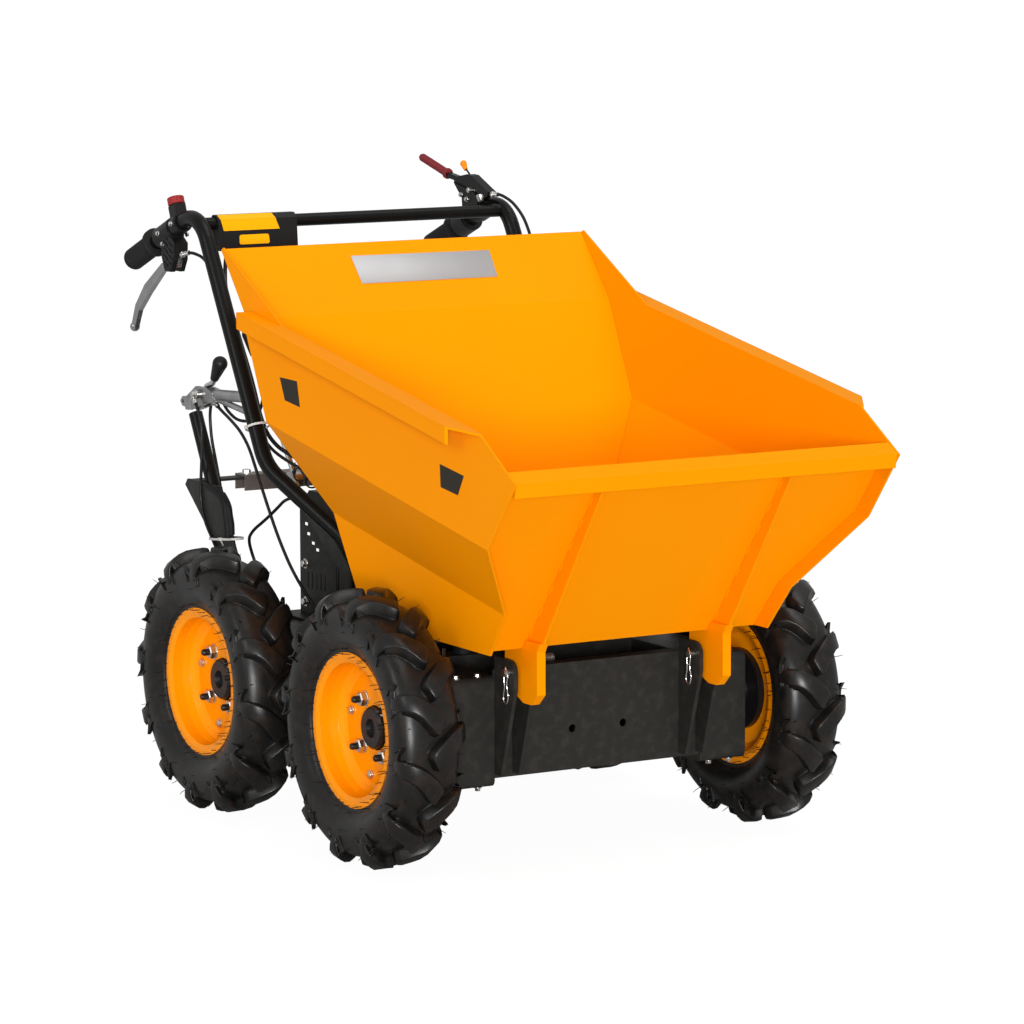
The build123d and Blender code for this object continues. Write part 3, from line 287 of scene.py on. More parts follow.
# ======================================================================================
# modelling steps
# ======================================================================================
class Bench:
    """Modelling steps, each done with the editor's own operators."""

    @staticmethod
    def clear() -> None:
        """Leaves edit mode and deselects everything."""
        if bpy.context.object and bpy.context.object.mode != "OBJECT":
            bpy.ops.object.mode_set(mode="OBJECT")
        bpy.ops.object.select_all(action="DESELECT")

    @staticmethod
    def settle(name: str, finish: Shop, smooth: float = 35.0) -> bpy.types.Object:
        """Bakes the active object's place into its mesh, names it and gives it a finish.

        Args:
            name: The piece's name.
            finish: Its finish.
            smooth: Edges under this angle, in degrees, shade smooth.

        Returns:
            The finished object.
        """
        obj = bpy.context.object
        if obj.mode != "OBJECT":
            bpy.ops.object.mode_set(mode="OBJECT")
        bpy.ops.object.transform_apply(location=True, rotation=True, scale=True)
        bpy.ops.object.shade_smooth_by_angle(angle=math.radians(smooth))
        obj.name = name
        obj.data.name = name
        obj.data.materials.clear()
        obj.data.materials.append(finish.material)
        return obj

    @classmethod
    def turned(cls, name: str, profile: Profile, place: Sequence[float], axis: Sequence[float],
               finish: Shop, sides: int = 32, smooth: float = 35.0,
               hollow: bool = False) -> bpy.types.Object:
        """Makes a round piece ring by ring, by extruding and scaling a disc along its axis.

        Args:
            name: The piece's name.
            profile: (height, radius) of each ring, from the first face to the last.
            place: Where height 0 lies.
            axis: Direction of growing height.
            finish: The finish.
            sides: Sides of each ring.
            smooth: Smoothing angle in degrees.
            hollow: Whether the profile closes on itself round an open middle, as a tyre's does.

        Returns:
            The finished object.
        """
        cls.clear()
        rings = [*profile, profile[0]] if hollow else list(profile)
        height, radius = rings[0]
        bpy.ops.mesh.primitive_circle_add(vertices=sides, radius=radius, fill_type="NGON",
                                          location=(0.0, 0.0, height))
        bpy.ops.object.mode_set(mode="EDIT")
        bpy.ops.mesh.select_all(action="SELECT")
        for next_height, next_radius in rings[1:]:
            bpy.ops.mesh.extrude_region_move(
                TRANSFORM_OT_translate={"value": (0.0, 0.0, next_height - height)})
            ratio = next_radius / radius
            bpy.ops.transform.resize(value=(ratio, ratio, 1.0))
            height, radius = next_height, next_radius
        if hollow:
            bpy.ops.mesh.select_all(action="DESELECT")
            bpy.ops.mesh.select_face_by_sides(number=4, type="GREATER")
            bpy.ops.mesh.delete(type="ONLY_FACE")
        bpy.ops.mesh.select_all(action="SELECT")
        if hollow:
            bpy.ops.mesh.remove_doubles(threshold=0.00001)
        bpy.ops.mesh.normals_make_consistent(inside=False)
        bpy.ops.object.mode_set(mode="OBJECT")
        obj = bpy.context.object
        obj.rotation_euler = Vector(UP).rotation_difference(Vector(axis)).to_euler()
        obj.location = Vector(place) + Vector(axis).normalized() * profile[0][0]
        return cls.settle(name, finish, smooth)

    @classmethod
    def slab(cls, name: str, low: Sequence[float], high: Sequence[float], finish: Shop,
             bevel: float) -> bpy.types.Object:
        """Makes a box between two corners with its edges broken.

        Args:
            name: The piece's name.
            low: Lowest corner.
            high: Highest corner.
            finish: The finish.
            bevel: Width of the broken edges.

        Returns:
            The finished object.
        """
        cls.clear()
        centre = [(a + b) / 2 for a, b in zip(low, high)]
        bpy.ops.mesh.primitive_cube_add(size=1.0, location=centre)
        bpy.context.object.scale = [abs(b - a) for a, b in zip(low, high)]
        bpy.ops.object.transform_apply(location=True, rotation=True, scale=True)
        bpy.ops.object.mode_set(mode="EDIT")
        bpy.ops.mesh.select_all(action="SELECT")
        bpy.ops.mesh.bevel(offset=bevel, segments=2, affect="EDGES")
        return cls.settle(name, finish)

    @classmethod
    def _face(cls, corners: Sequence[Sequence[float]]) -> bpy.types.Object:
        """Starts a piece as one flat face, selected in edit mode.

        Args:
            corners: The face's corners in order.

        Returns:
            The object, still in edit mode.
        """
        cls.clear()
        bpy.ops.mesh.primitive_circle_add(vertices=len(corners), radius=1.0, fill_type="NGON")
        obj = bpy.context.object
        for vertex, corner in zip(obj.data.vertices, corners):
            vertex.co = corner
        bpy.ops.object.mode_set(mode="EDIT")
        bpy.ops.mesh.select_all(action="SELECT")
        return obj

    @classmethod
    def sheet_piece(cls, name: str, outline: Sequence[Sequence[float]], depth: Sequence[float],
                    finish: Shop, bevel: float = 0.0) -> bpy.types.Object:
        """Makes a flat plate from its outline, drawn out by one extrusion.

        Args:
            name: The piece's name.
            outline: Corners in order, all in one plane.
            depth: The vector that the face is drawn out by.
            finish: The finish.
            bevel: Width of the broken edges.

        Returns:
            The finished object.
        """
        cls._face(outline)
        bpy.ops.mesh.extrude_region_move(TRANSFORM_OT_translate={"value": tuple(depth)})
        bpy.ops.mesh.select_all(action="SELECT")
        bpy.ops.mesh.normals_make_consistent(inside=False)
        if bevel > 0.0:
            bpy.ops.mesh.bevel(offset=bevel, segments=2, affect="EDGES")
        return cls.settle(name, finish)

    @classmethod
    def drawn(cls, name: str, rings: Sequence[Sequence[Sequence[float]]], finish: Shop,
              smooth: float, bevel: float = 0.0) -> bpy.types.Object:
        """Draws one cross-section through a row of others, as an extrusion shaped at each step.

        Args:
            name: The piece's name.
            rings: Cross-sections with the same number of corners, in the same order.
            finish: The finish.
            smooth: Smoothing angle in degrees.
            bevel: Width of a bevel on the sharp edges.

        Returns:
            The finished object.
        """
        obj = cls._face(rings[0])
        for before, ring in zip(rings, rings[1:]):
            bpy.ops.mesh.extrude_region_move()
            mesh = bmesh.from_edit_mesh(obj.data)
            for vertex in [v for v in mesh.verts if v.select]:
                index = min(range(len(ring)), key=lambda i: (Vector(before[i]) - vertex.co).length_squared)
                vertex.co = ring[index]
            bmesh.update_edit_mesh(obj.data)
        bpy.ops.mesh.select_all(action="SELECT")
        bpy.ops.mesh.normals_make_consistent(inside=False)
        bpy.ops.object.mode_set(mode="OBJECT")
        if bevel > 0.0:
            mod = obj.modifiers.new("edges", "BEVEL")
            mod.width = bevel
            mod.segments = 2
            mod.limit_method = "ANGLE"
            mod.angle_limit = math.radians(40)
            bpy.ops.object.modifier_apply(modifier=mod.name)
        return cls.settle(name, finish, smooth)

    @classmethod
    def fluted(cls, name: str, middle: Vector, along: Sequence[float], radius: float,
               rows: Sequence[Point], sides: int, finish: Shop) -> bpy.types.Object:
        """Draws a round cap with flutes round its rim.

        Args:
            name: The piece's name.
            middle: Where height 0 lies.
            along: Direction in the cap's plane, square to X; height grows square to both.
            radius: The cap's radius.
            rows: Height, share of the radius and depth of the flutes, ring by ring.
            sides: Sides of each ring, four to a flute.
            finish: The finish.

        Returns:
            The finished object.
        """
        across, along = Vector((1.0, 0.0, 0.0)), Vector(along)
        way = across.cross(along)
        rings = []
        for height, share, depth in rows:
            ring = []
            for i in range(sides):
                r = radius * share * (1.0 - depth * (i // 2 % 2))
                a = math.tau * i / sides
                ring.append(middle + way * height + across * r * math.cos(a) + along * r * math.sin(a))
            rings.append(ring)
        return cls.drawn(name, rings, finish, smooth=30.0)

    @staticmethod
    def ribbed(start: float, count: int, step: float, rib: Profile) -> list[tuple[float, float]]:
        """Repeats one rib's (height, radius) rows from a start height, a step apart."""
        return [(start + i * step + height, radius) for i in range(count) for height, radius in rib]

    @classmethod
    def wire(cls, name: str, points: Sequence[Sequence[float]], radius: float, finish: Shop,
             closed: bool = False, order: int = 3) -> bpy.types.Object:
        """Bends a round wire along a smooth line through its control points.

        Args:
            name: The piece's name.
            points: Control points of the line.
            radius: The wire's radius.
            finish: The finish.
            closed: Whether the wire ends where it starts.
            order: Order of the curve.

        Returns:
            The finished object.
        """
        cls.clear()
        curve = bpy.data.curves.new(name, "CURVE")
        curve.dimensions = "3D"
        curve.bevel_depth = radius
        curve.bevel_resolution = 3
        curve.resolution_u = 6
        curve.use_fill_caps = True
        spline = curve.splines.new("NURBS")
        spline.points.add(len(points) - 1)
        for target, point in zip(spline.points, points):
            target.co = (*point, 1.0)
        spline.order_u = min(order, len(points))
        spline.use_cyclic_u = closed
        spline.use_endpoint_u = not closed
        obj = bpy.data.objects.new(name, curve)
        bpy.context.scene.collection.objects.link(obj)
        obj.select_set(True)
        bpy.context.view_layer.objects.active = obj
        bpy.ops.object.convert(target="MESH")
        return cls.settle(name, finish, 60.0)

    @classmethod
    def join(cls, name: str, parts: Sequence[bpy.types.Object]) -> bpy.types.Object:
        """Joins pieces into one object.

        Args:
            name: The joined piece's name.
            parts: The pieces.

        Returns:
            The joined object.
        """
        cls.clear()
        for part in parts:
            part.select_set(True)
        bpy.context.view_layer.objects.active = parts[0]
        bpy.ops.object.join()
        obj = bpy.context.object
        obj.name = name
        obj.data.name = name
        return obj

    @classmethod
    def repeat(cls, name: str, first: bpy.types.Object, moves: Iterable[Matrix]) -> bpy.types.Object:
        """Copies a piece, each copy with its own mesh, and joins the copies.

        Args:
            name: The joined piece's name.
            first: The piece to copy, which is used up.
            moves: Where each copy goes, from the first one's place.

        Returns:
            The joined object.
        """
        made = []
        for move in moves:
            copy = first.copy()
            copy.data = first.data.copy()
            copy.data.transform(move)
            bpy.context.scene.collection.objects.link(copy)
            made.append(copy)
        bpy.data.objects.remove(first, do_unlink=True)
        return cls.join(name, made)

    @classmethod
    def spread(cls, name: str, first: bpy.types.Object, spots: Iterable[Spot]) -> bpy.types.Object:
        """Copies a piece that was made upright at the origin to where it is needed.

        Args:
            name: The joined piece's name.
            first: The piece to copy, which is used up.
            spots: Place and facing of each copy.

        Returns:
            The joined object.
        """
        turns = [(place, Vector(UP).rotation_difference(Vector(axis))) for place, axis in spots]
        return cls.repeat(name, first, [Matrix.Translation(place) @ turn.to_matrix().to_4x4()
                                        for place, turn in turns])


@dataclass
class Fastener:
    """A hexagon bolt head or nut with its washer, made once and copied."""

    across: float
    height: float
    washer: float
    washer_thick: float = 0.0012

    def spread(self, name: str, spots: Iterable[Spot]) -> bpy.types.Object:
        """Puts the fastener wherever it is needed.

        Args:
            name: The joined piece's name.
            spots: Point on the surface and the surface's outward direction, for each one.

        Returns:
            The joined fasteners.
        """
        r, h, t = self.across / 2 / math.cos(math.radians(30)), self.height, self.washer_thick
        head = Bench.turned("fastener_head", [(t, r), (t + h * 0.82, r), (t + h, r * 0.84)], ORIGIN, UP,
                            Shop.ZINC, sides=6, smooth=20.0)
        ring = Bench.turned("fastener_washer", [(0.0, self.washer), (t * 0.7, self.washer),
                                                (t, self.washer * 0.94)], ORIGIN, UP, Shop.ZINC, sides=24)
        return Bench.spread(name, Bench.join("fastener", [head, ring]), spots)


# ======================================================================================
# wheels
# ======================================================================================
class Corner(Enum):
    """The four wheels, as (name, side, degrees that the lugs are turned by)."""

    FRONT_LEFT = ("front_left", 1.0, 12.0)
    FRONT_RIGHT = ("front_right", -1.0, 5.0)
    REAR_LEFT = ("rear_left", 1.0, 21.0)
    REAR_RIGHT = ("rear_right", -1.0, 1.0)


@dataclass
class Tyre:
    """A lugged tyre: carcass, two staggered rows of lugs, sidewall ribs and moulding hairs."""

    outer_r: float = 0.205
    lugs: int = 12
    hair_rings: tuple[tuple[float, float, int, float, float, float], ...] = (
        # radius, distance from the middle plane, how many, least and most outward lean, length
        (0.1120, 0.0325, 38, -0.20, 0.15, 0.0160), (0.1200, 0.0390, 16, -0.10, 0.25, 0.0130),
        (0.1450, 0.0470, 14, 0.00, 0.50, 0.0090), (0.1840, 0.0380, 26, 0.50, 1.20, 0.0130))
    carcass: Profile = (
        # distance from the middle plane and radius, from the bead to the crown
        (0.0317, 0.1018), (0.0330, 0.1100), (0.0335, 0.1140), (0.0352, 0.1165), (0.0352, 0.1185),
        (0.0375, 0.1200), (0.0395, 0.1225), (0.0400, 0.1245), (0.0435, 0.1290), (0.0480, 0.1375),
        (0.0502, 0.1470), (0.0508, 0.1560), (0.0500, 0.1650), (0.0470, 0.1735), (0.0415, 0.1800),
        (0.0320, 0.1845), (0.0200, 0.1868), (0.0080, 0.1875))
    lug_rows: tuple[tuple[float, ...], ...] = (
        # across and round the tyre, radius of the foot and of the top, half width of foot and top, slant
        (-0.0080, -0.0060, 0.1855, 0.1945, 0.0110, 0.0060, 0.50),
        (-0.0060, -0.0030, 0.1860, 0.2035, 0.0150, 0.0110, 0.50),
        (0.0000, 0.0030, 0.1860, 0.2050, 0.0175, 0.0140, 0.45),
        (0.0110, 0.0150, 0.1855, 0.2050, 0.0180, 0.0142, 0.30),
        (0.0220, 0.0260, 0.1835, 0.2048, 0.0180, 0.0142, 0.15),
        (0.0330, 0.0340, 0.1795, 0.2015, 0.0178, 0.0138, 0.05),
        (0.0430, 0.0385, 0.1735, 0.1950, 0.0170, 0.0130, 0.0))
    wall_rows: tuple[tuple[float, ...], ...] = (
        # foot and top distance from the middle plane, radius, round the tyre, half width
        (0.0470, 0.0505, 0.1860, 0.0405, 0.0122), (0.0490, 0.0525, 0.1770, 0.0415, 0.0105),
        (0.0490, 0.0532, 0.1690, 0.0420, 0.0085), (0.0480, 0.0520, 0.1590, 0.0415, 0.0045))
    wall_flare: float = 1.25
    chevron: Profile = (
        # round the tyre and radius of the thin rib beside each lug's foot
        (0.0200, 0.1560), (0.0270, 0.1660), (0.0640, 0.1700), (0.0760, 0.1800), (0.0640, 0.1570))
    chevron_foot: tuple[float, float] = (0.0470, 0.0030)
    chevron_top: tuple[float, float] = (0.0528, 0.0014)

    def dress(self, corner: Corner, centre: Vector) -> bpy.types.Object:
        """Builds one tyre at its wheel's centre.

        Args:
            corner: Which wheel.
            centre: The wheel's centre.

        Returns:
            The tyre.
        """
        name, _, turn = corner.value
        profile = [*self.carcass, *((-x, r) for x, r in reversed(self.carcass))]
        parts = [Bench.turned("carcass", profile, centre, (1.0, 0.0, 0.0), Shop.TYRE, sides=96, hollow=True)]
        for side, phase in zip(SIDES, (0.0, 0.5)):
            spins = [Matrix.Rotation(math.radians((i + phase) * 360.0 / self.lugs + turn), 4, "X")
                     for i in range(self.lugs)]
            lug = Bench.join("lug_and_rib", [self._lug(side), self._rib(side)])
            parts.append(Bench.repeat("lug_row", lug, [Matrix.Translation(centre) @ spin for spin in spins]))
        return Bench.join(f"lugged_tyre_{name}", parts)

    def _at(self, x: float, arc: float, r: float) -> Vector:
        """Point on the tyre about its own centre, from its width, its place round the tyre and its radius."""
        angle = math.pi - arc / self.outer_r
        return Vector((x, -r * math.sin(angle), r * math.cos(angle)))

    def _lug(self, side: float) -> bpy.types.Object:
        """Makes one lug about the wheel's axis, from the crown over the shoulder.

        Args:
            side: 1 for the left shoulder, -1 for the right.

        Returns:
            The lug.
        """
        rings = []
        for x, arc, foot, top, wide, narrow, slant in self.lug_rows:
            rings.append([self._at(side * (x - way * slant * half), arc + way * half, r) for way, half, r in (
                (-1.0, wide, foot), (-1.0, narrow, top), (1.0, narrow, top), (1.0, wide, foot))])
        for foot_x, top_x, r, arc, half in self.wall_rows:
            rings.append([self._at(side * x, arc + reach, r) for x, reach in (
                (foot_x, -half * self.wall_flare), (top_x, -half), (top_x, half),
                (foot_x, half * self.wall_flare))])
        return Bench.drawn("lug", rings, Shop.TYRE, smooth=50.0, bevel=0.0022)

    def _rib(self, side: float) -> bpy.types.Object:
        """Makes the thin bent rib that runs out of a lug's foot over the sidewall.

        Args:
            side: 1 for the left shoulder, -1 for the right.

        Returns:
            The rib.
        """
        (foot_x, foot), (top_x, top) = self.chevron_foot, self.chevron_top
        rings = [[self._at(side * x, arc, r + rise) for x, rise in (
            (foot_x, -foot), (top_x, -top), (top_x, top), (foot_x, foot))] for arc, r in self.chevron]
        return Bench.drawn("lug_rib", rings, Shop.TYRE, smooth=50.0)

    def hair_set(self, corner: Corner, centre: Vector) -> bpy.types.Object:
        """Makes the thin moulding hairs round the bead and the shoulders.

        Args:
            corner: Which wheel.
            centre: The wheel's centre.

        Returns:
            The joined hairs.
        """
        name = corner.value[0]
        dice = random.Random(f"hairs {name}")
        rows = []
        for side in SIDES:
            for ring_r, ring_x, count, low, high, length in self.hair_rings:
                for i in range(count):
                    angle = math.tau * (i + dice.uniform(-0.3, 0.3)) / count
                    lean = Vector((side, 0.0, dice.uniform(low, high))).normalized()
                    rows.append((angle, Vector((side * ring_x, 0.0, ring_r)),
                                 lean * length * dice.uniform(0.6, 1.15)))
        hairs = []
        for angle, start, way in rows:
            turn = Matrix.Rotation(angle, 3, "X")
            bend = Vector((0.0, dice.uniform(-0.0015, 0.0015), 0.0))
            hairs.append(self._hair([centre + turn @ point for point in (
                start - way * 0.2, start + way * 0.5 + bend, start + way)]))
        return Bench.join(f"moulding_hairs_{name}", hairs)

    @staticmethod
    def _hair(line: Sequence[Vector]) -> bpy.types.Object:
        """Draws one hair as a thin three-sided taper.

        Args:
            line: Its root, middle and tip.

        Returns:
            The hair.
        """
        way = (line[-1] - line[0]).normalized()
        across = way.orthogonal().normalized()
        other = way.cross(across)
        rings = [[point + across * r, point - across * r * 0.5 + other * r * 0.87,
                  point - across * r * 0.5 - other * r * 0.87]
                 for point, r in zip(line, (0.0007, 0.0006, 0.0004))]
        return Bench.drawn("hair", rings, Shop.TYRE, smooth=80.0)


@dataclass
class Wheel:
    """One wheel: its tyre, studs and nuts, rim bolts and valve."""

    disc: float = -0.0067
    stud_ring: float = 0.050
    bolt_ring: float = 0.0735
    valve_ring: float = 0.0840
    valve_out: float = 0.004
    stud_angles: tuple[float, ...] = (50.0, 140.0, 230.0, 320.0)
    bolt_angles: tuple[float, ...] = (12.0, 102.0, 192.0, 282.0)
    valve_angle: float = 168.0
    valve_lean: float = 0.25
    stud: Profile = ((-0.004, 0.0052), (0.0185, 0.0052), (0.0205, 0.0040))
    rim_bolt: Profile = (
        (0.0, 0.0075), (0.0012, 0.0075), (0.0016, 0.0058), (0.0042, 0.0058), (0.0052, 0.0045),
        (0.0054, 0.0022))
    valve: Profile = ((-0.012, 0.0048), (0.004, 0.0046), (0.008, 0.0036), (0.018, 0.0034), (0.0185, 0.0042),
                      (0.027, 0.0042), (0.028, 0.0036))
    tyre: Tyre = field(default_factory=Tyre)

    def dress(self, corner: Corner) -> list[bpy.types.Object]:
        """Builds one wheel's tyre and all its fittings.

        Args:
            corner: Which wheel.

        Returns:
            The pieces, riding on their wheel.
        """
        name, side, _ = corner.value
        low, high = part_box(f"tyre_{name}")
        centre = (Vector(low) + Vector(high)) / 2
        axis = Vector((side, 0.0, 0.0))

        def spot(ring: float, angle: float, out: float) -> Vector:
            """Point on the wheel, from its ring, degrees from the back upwards and distance outwards."""
            a = math.radians(angle)
            return centre + Vector((side * out, ring * math.cos(a), ring * math.sin(a)))

        tyre = self.tyre.dress(corner, centre)
        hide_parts(f"tyre_{name}")
        studs = [(spot(self.stud_ring, angle, self.disc), axis) for angle in self.stud_angles]
        bolts = [(spot(self.bolt_ring, angle, self.disc), axis) for angle in self.bolt_angles]
        stud = Bench.turned("stud", self.stud, ORIGIN, UP, Shop.HUB, sides=20)
        rim_bolt = Bench.turned("rim_bolt", self.rim_bolt, ORIGIN, UP, Shop.ZINC, sides=18)
        valve = spot(self.valve_ring, self.valve_angle, self.valve_out)
        lean = axis + (centre - valve).normalized() * self.valve_lean
        pieces = [tyre, self.tyre.hair_set(corner, centre),
                  Fastener(0.0190, 0.0095, 0.0125).spread(f"wheel_nuts_{name}", studs),
                  Bench.spread(f"wheel_studs_{name}", stud, studs),
                  Bench.spread(f"rim_bolts_{name}", rim_bolt, bolts),
                  Bench.turned(f"valve_{name}", self.valve, valve, lean, Shop.SOFT_RUBBER, sides=18)]
        for piece in pieces:
            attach(piece, f"wheel_{name}")
        return pieces


# ======================================================================================
# skip
# ======================================================================================
@dataclass
class SkipTrim:
    """What is fixed to the skip: the bare plate inside, the side stripes and the rib welds."""

    plate_corners: tuple[Point, ...] = (
        (-0.1086, 0.2145, 0.8505), (0.1380, 0.2132, 0.8489), (0.1345, 0.1808, 0.8098),
        (-0.1070, 0.1810, 0.8101))
    wall_out: Point = (0.0, -0.7695, 0.6386)
    plate_thick: float = 0.0008
    side_x: float = 0.3225
    stripes: tuple[Profile, ...] = (
        # (y, z) of each stripe's corners
        ((0.0455, 0.691), (-0.008, 0.690), (-0.017, 0.652), (0.030, 0.658)),
        ((-0.433, 0.6125), (-0.500, 0.603), (-0.483, 0.574), (-0.4355, 0.580)))
    rib_x: float = 0.159
    rib_half: float = 0.0028
    rib_foot: Point = (0.0, -0.4020, 0.340)
    rib_top: Point = (0.0, -0.5920, 0.585)
    beads: int = 7
    bead: float = 0.016
    bead_r: float = 0.0016

    def dress(self) -> list[bpy.types.Object]:
        """Builds the skip's fittings.

        Returns:
            The pieces, riding on the skip.
        """
        out = Vector(self.wall_out) * self.plate_thick
        pieces = [Bench.sheet_piece("bare_plate", [Vector(corner) + out / 2 for corner in self.plate_corners],
                                    out, Shop.SIGN_GREY, 0.0002)]
        for side, label in zip(SIDES, ("left", "right")):
            for i, stripe in enumerate(self.stripes):
                corners = [(side * (self.side_x + 0.0002), y, z) for y, z in stripe]
                pieces.append(Bench.sheet_piece(f"stripe_{label}_{i}", corners, (side * 0.0004, 0.0, 0.0),
                                                Shop.STRIPE))
        pieces.append(self._welds())
        for piece in pieces:
            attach(piece, "skip")
        return pieces

    def _welds(self) -> bpy.types.Object:
        """Lays the short weld beads along both sides of the front ribs.

        Returns:
            The joined beads.
        """
        foot, top = Vector(self.rib_foot), Vector(self.rib_top)
        along = (top - foot).normalized() * self.bead
        across = Vector((1.0, 0.0, 0.0))
        first = Bench.wire("bead", [along * share for share in (0.0, 0.3, 0.7, 1.0)], self.bead_r,
                           Shop.SKIP_ORANGE)
        starts = [foot.lerp(top, (i + 0.25) / self.beads) for i in range(self.beads)]
        return Bench.spread("rib_welds", first, [
            (start + across * side * (self.rib_x + edge * self.rib_half), UP)
            for side in SIDES for edge in SIDES for start in starts])


# ======================================================================================
# fittings of the chassis
# ======================================================================================
class OnChassis:
    """A group of fittings that ride on the chassis."""

    def build(self) -> list[bpy.types.Object]:
        """Builds the pieces of the group."""
        raise NotImplementedError

    def dress(self) -> list[bpy.types.Object]:
        """Builds the group and puts it on the chassis.

        Returns:
            The pieces, riding on the chassis.
        """
        pieces = self.build()
        for piece in pieces:
            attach(piece, "chassis")
        return pieces


# ======================================================================================
# chassis
# ======================================================================================
@dataclass
class Chassis(OnChassis):
    """Fasteners, clips and the tip spring of the low frame."""

    clip_wire: float = 0.0013
    clip_x: float = 0.132
    clip_line: Profile = (
        (0.000, 0.009), (-0.004, 0.004), (-0.007, -0.006), (-0.004, -0.014), (-0.005, -0.024),
        (-0.009, -0.034), (-0.004, -0.046), (0.004, -0.044), (0.006, -0.034), (0.001, -0.022),
        (0.004, -0.006))
    wing_bolt_x: tuple[float, ...] = (0.200, 0.236)
    case_bolt_y: tuple[float, ...] = (-0.322, -0.160, 0.0, 0.160, 0.322)
    case_bolt_z: tuple[float, ...] = (0.132, 0.268)
    cover_x: float = 0.2580
    spring_place: Point = (-0.0750, -0.3020, 0.2950)
    spring_r: float = 0.0060
    spring_wire: float = 0.0008
    spring_pitch: float = 0.0024
    spring_turns: int = 7
    foot_bolt_x: tuple[float, ...] = (0.190, 0.236)
    foot_bolt_y: tuple[float, ...] = (0.0, 0.064)
    foot_top: float = 0.2873
    grommet: Profile = (
        (0.0, 0.0065), (0.0015, 0.0070), (0.0025, 0.0060), (0.0060, 0.0052), (0.0120, 0.0044),
        (0.0125, 0.0036))
    landings: Profile = (
        # where the cables enter the drive cases
        (-0.190, 0.108), (-0.185, 0.127), (-0.214, 0.120), (-0.2553, 0.335), (-0.211, 0.327), (-0.200, 0.322),
        (0.190, 0.107))

    def build(self) -> list[bpy.types.Object]:
        """Builds the clips, the cases' and feet's bolts, the spring and the cable grommets.

        Returns:
            The pieces.
        """
        low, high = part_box("drive_cases")
        wings = [((side * x, low[1] + 0.012, z), (0.0, 0.0, up)) for side in (-1.0, 1.0)
                 for z, up in ((high[2], 1.0), (low[2], -1.0)) for x in self.wing_bolt_x]
        covers = [((side * self.cover_x, y, z), (side, 0.0, 0.0))
                  for y in self.case_bolt_y for z in self.case_bolt_z for side in SIDES]
        feet = [((side * x, y, self.foot_top), UP)
                for side in SIDES for x in self.foot_bolt_x for y in self.foot_bolt_y]
        grommet = Bench.turned("grommet", self.grommet, ORIGIN, UP, Shop.SOFT_RUBBER, sides=18)
        return [self._clips(), Fastener(0.0080, 0.0045, 0.0060).spread("case_front_bolts", wings),
                Fastener(0.0100, 0.0050, 0.0070).spread("case_cover_bolts", covers),
                Fastener(0.0130, 0.0070, 0.0095).spread("handle_foot_bolts", feet), self._spring(),
                Bench.spread("cable_grommets", grommet, [((x, y, high[2]), UP) for x, y in self.landings])]

    def _clips(self) -> bpy.types.Object:
        """Makes the two wire clips that hang from the hinge pins.

        Returns:
            The joined clips.
        """
        low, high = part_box("hinge_pins")
        y, z = (low[1] + high[1]) / 2, (low[2] + high[2]) / 2
        first = Bench.wire("clip", [(0.0, b, c) for b, c in self.clip_line], self.clip_wire, Shop.CHROME)
        return Bench.spread("pin_clips", first, [((x, y, z), UP) for x in (low[0] + 0.004, self.clip_x)])

    def _spring(self) -> bpy.types.Object:
        """Winds the small spring behind the front plate's upper edge.

        Returns:
            The spring.
        """
        steps, r = 10, self.spring_r
        line = []
        for i in range(self.spring_turns * steps + 1):
            a = math.tau * i / steps
            coil = Vector((self.spring_pitch * i / steps, r * math.cos(a), r * math.sin(a)))
            line.append(Vector(self.spring_place) + coil)
        return Bench.wire("tip_spring", line, self.spring_wire, Shop.DULL_STEEL)


# ======================================================================================
# handles
# ======================================================================================
@dataclass
class Tie:
    """A cable tie: a band of two strands, its head and its cut tail."""

    centre: Point
    axis: Point
    wide: float
    high: float
    finish: Shop
    tail: Point
    steps: int = 16

    def make(self) -> bpy.types.Object:
        """Makes the tie; a long loop has its head on its side, a round one at its end.

        Returns:
            The tie.
        """
        way, centre = Vector(self.axis).normalized(), Vector(self.centre)
        across = way.cross(Vector(UP)).normalized()
        up = across.cross(way)
        ring = [centre + across * self.wide * math.cos(math.tau * i / self.steps)
                + up * self.high * math.sin(math.tau * i / self.steps) for i in range(self.steps)]
        long_loop = self.high >= self.wide * 1.5
        head = centre + across * self.wide
        if long_loop:
            head = centre - across * self.wide * 0.92 + up * self.high * 0.4
        end = head + Vector(self.tail)
        made = [Bench.wire("band", [p + way * shift for p in ring], 0.0011, self.finish, closed=True)
                for shift in (-0.0008, 0.0008)]
        made.append(Bench.wire("tail", [head, head.lerp(end, 0.5) + up * 0.001, end], 0.0010, self.finish))
        made.append(Bench.slab("head", head - Vector((0.0024, 0.0024, 0.0020)),
                               head + Vector((0.0024, 0.0024, 0.0030)), self.finish, 0.0006))
        return Bench.join("tie", made)


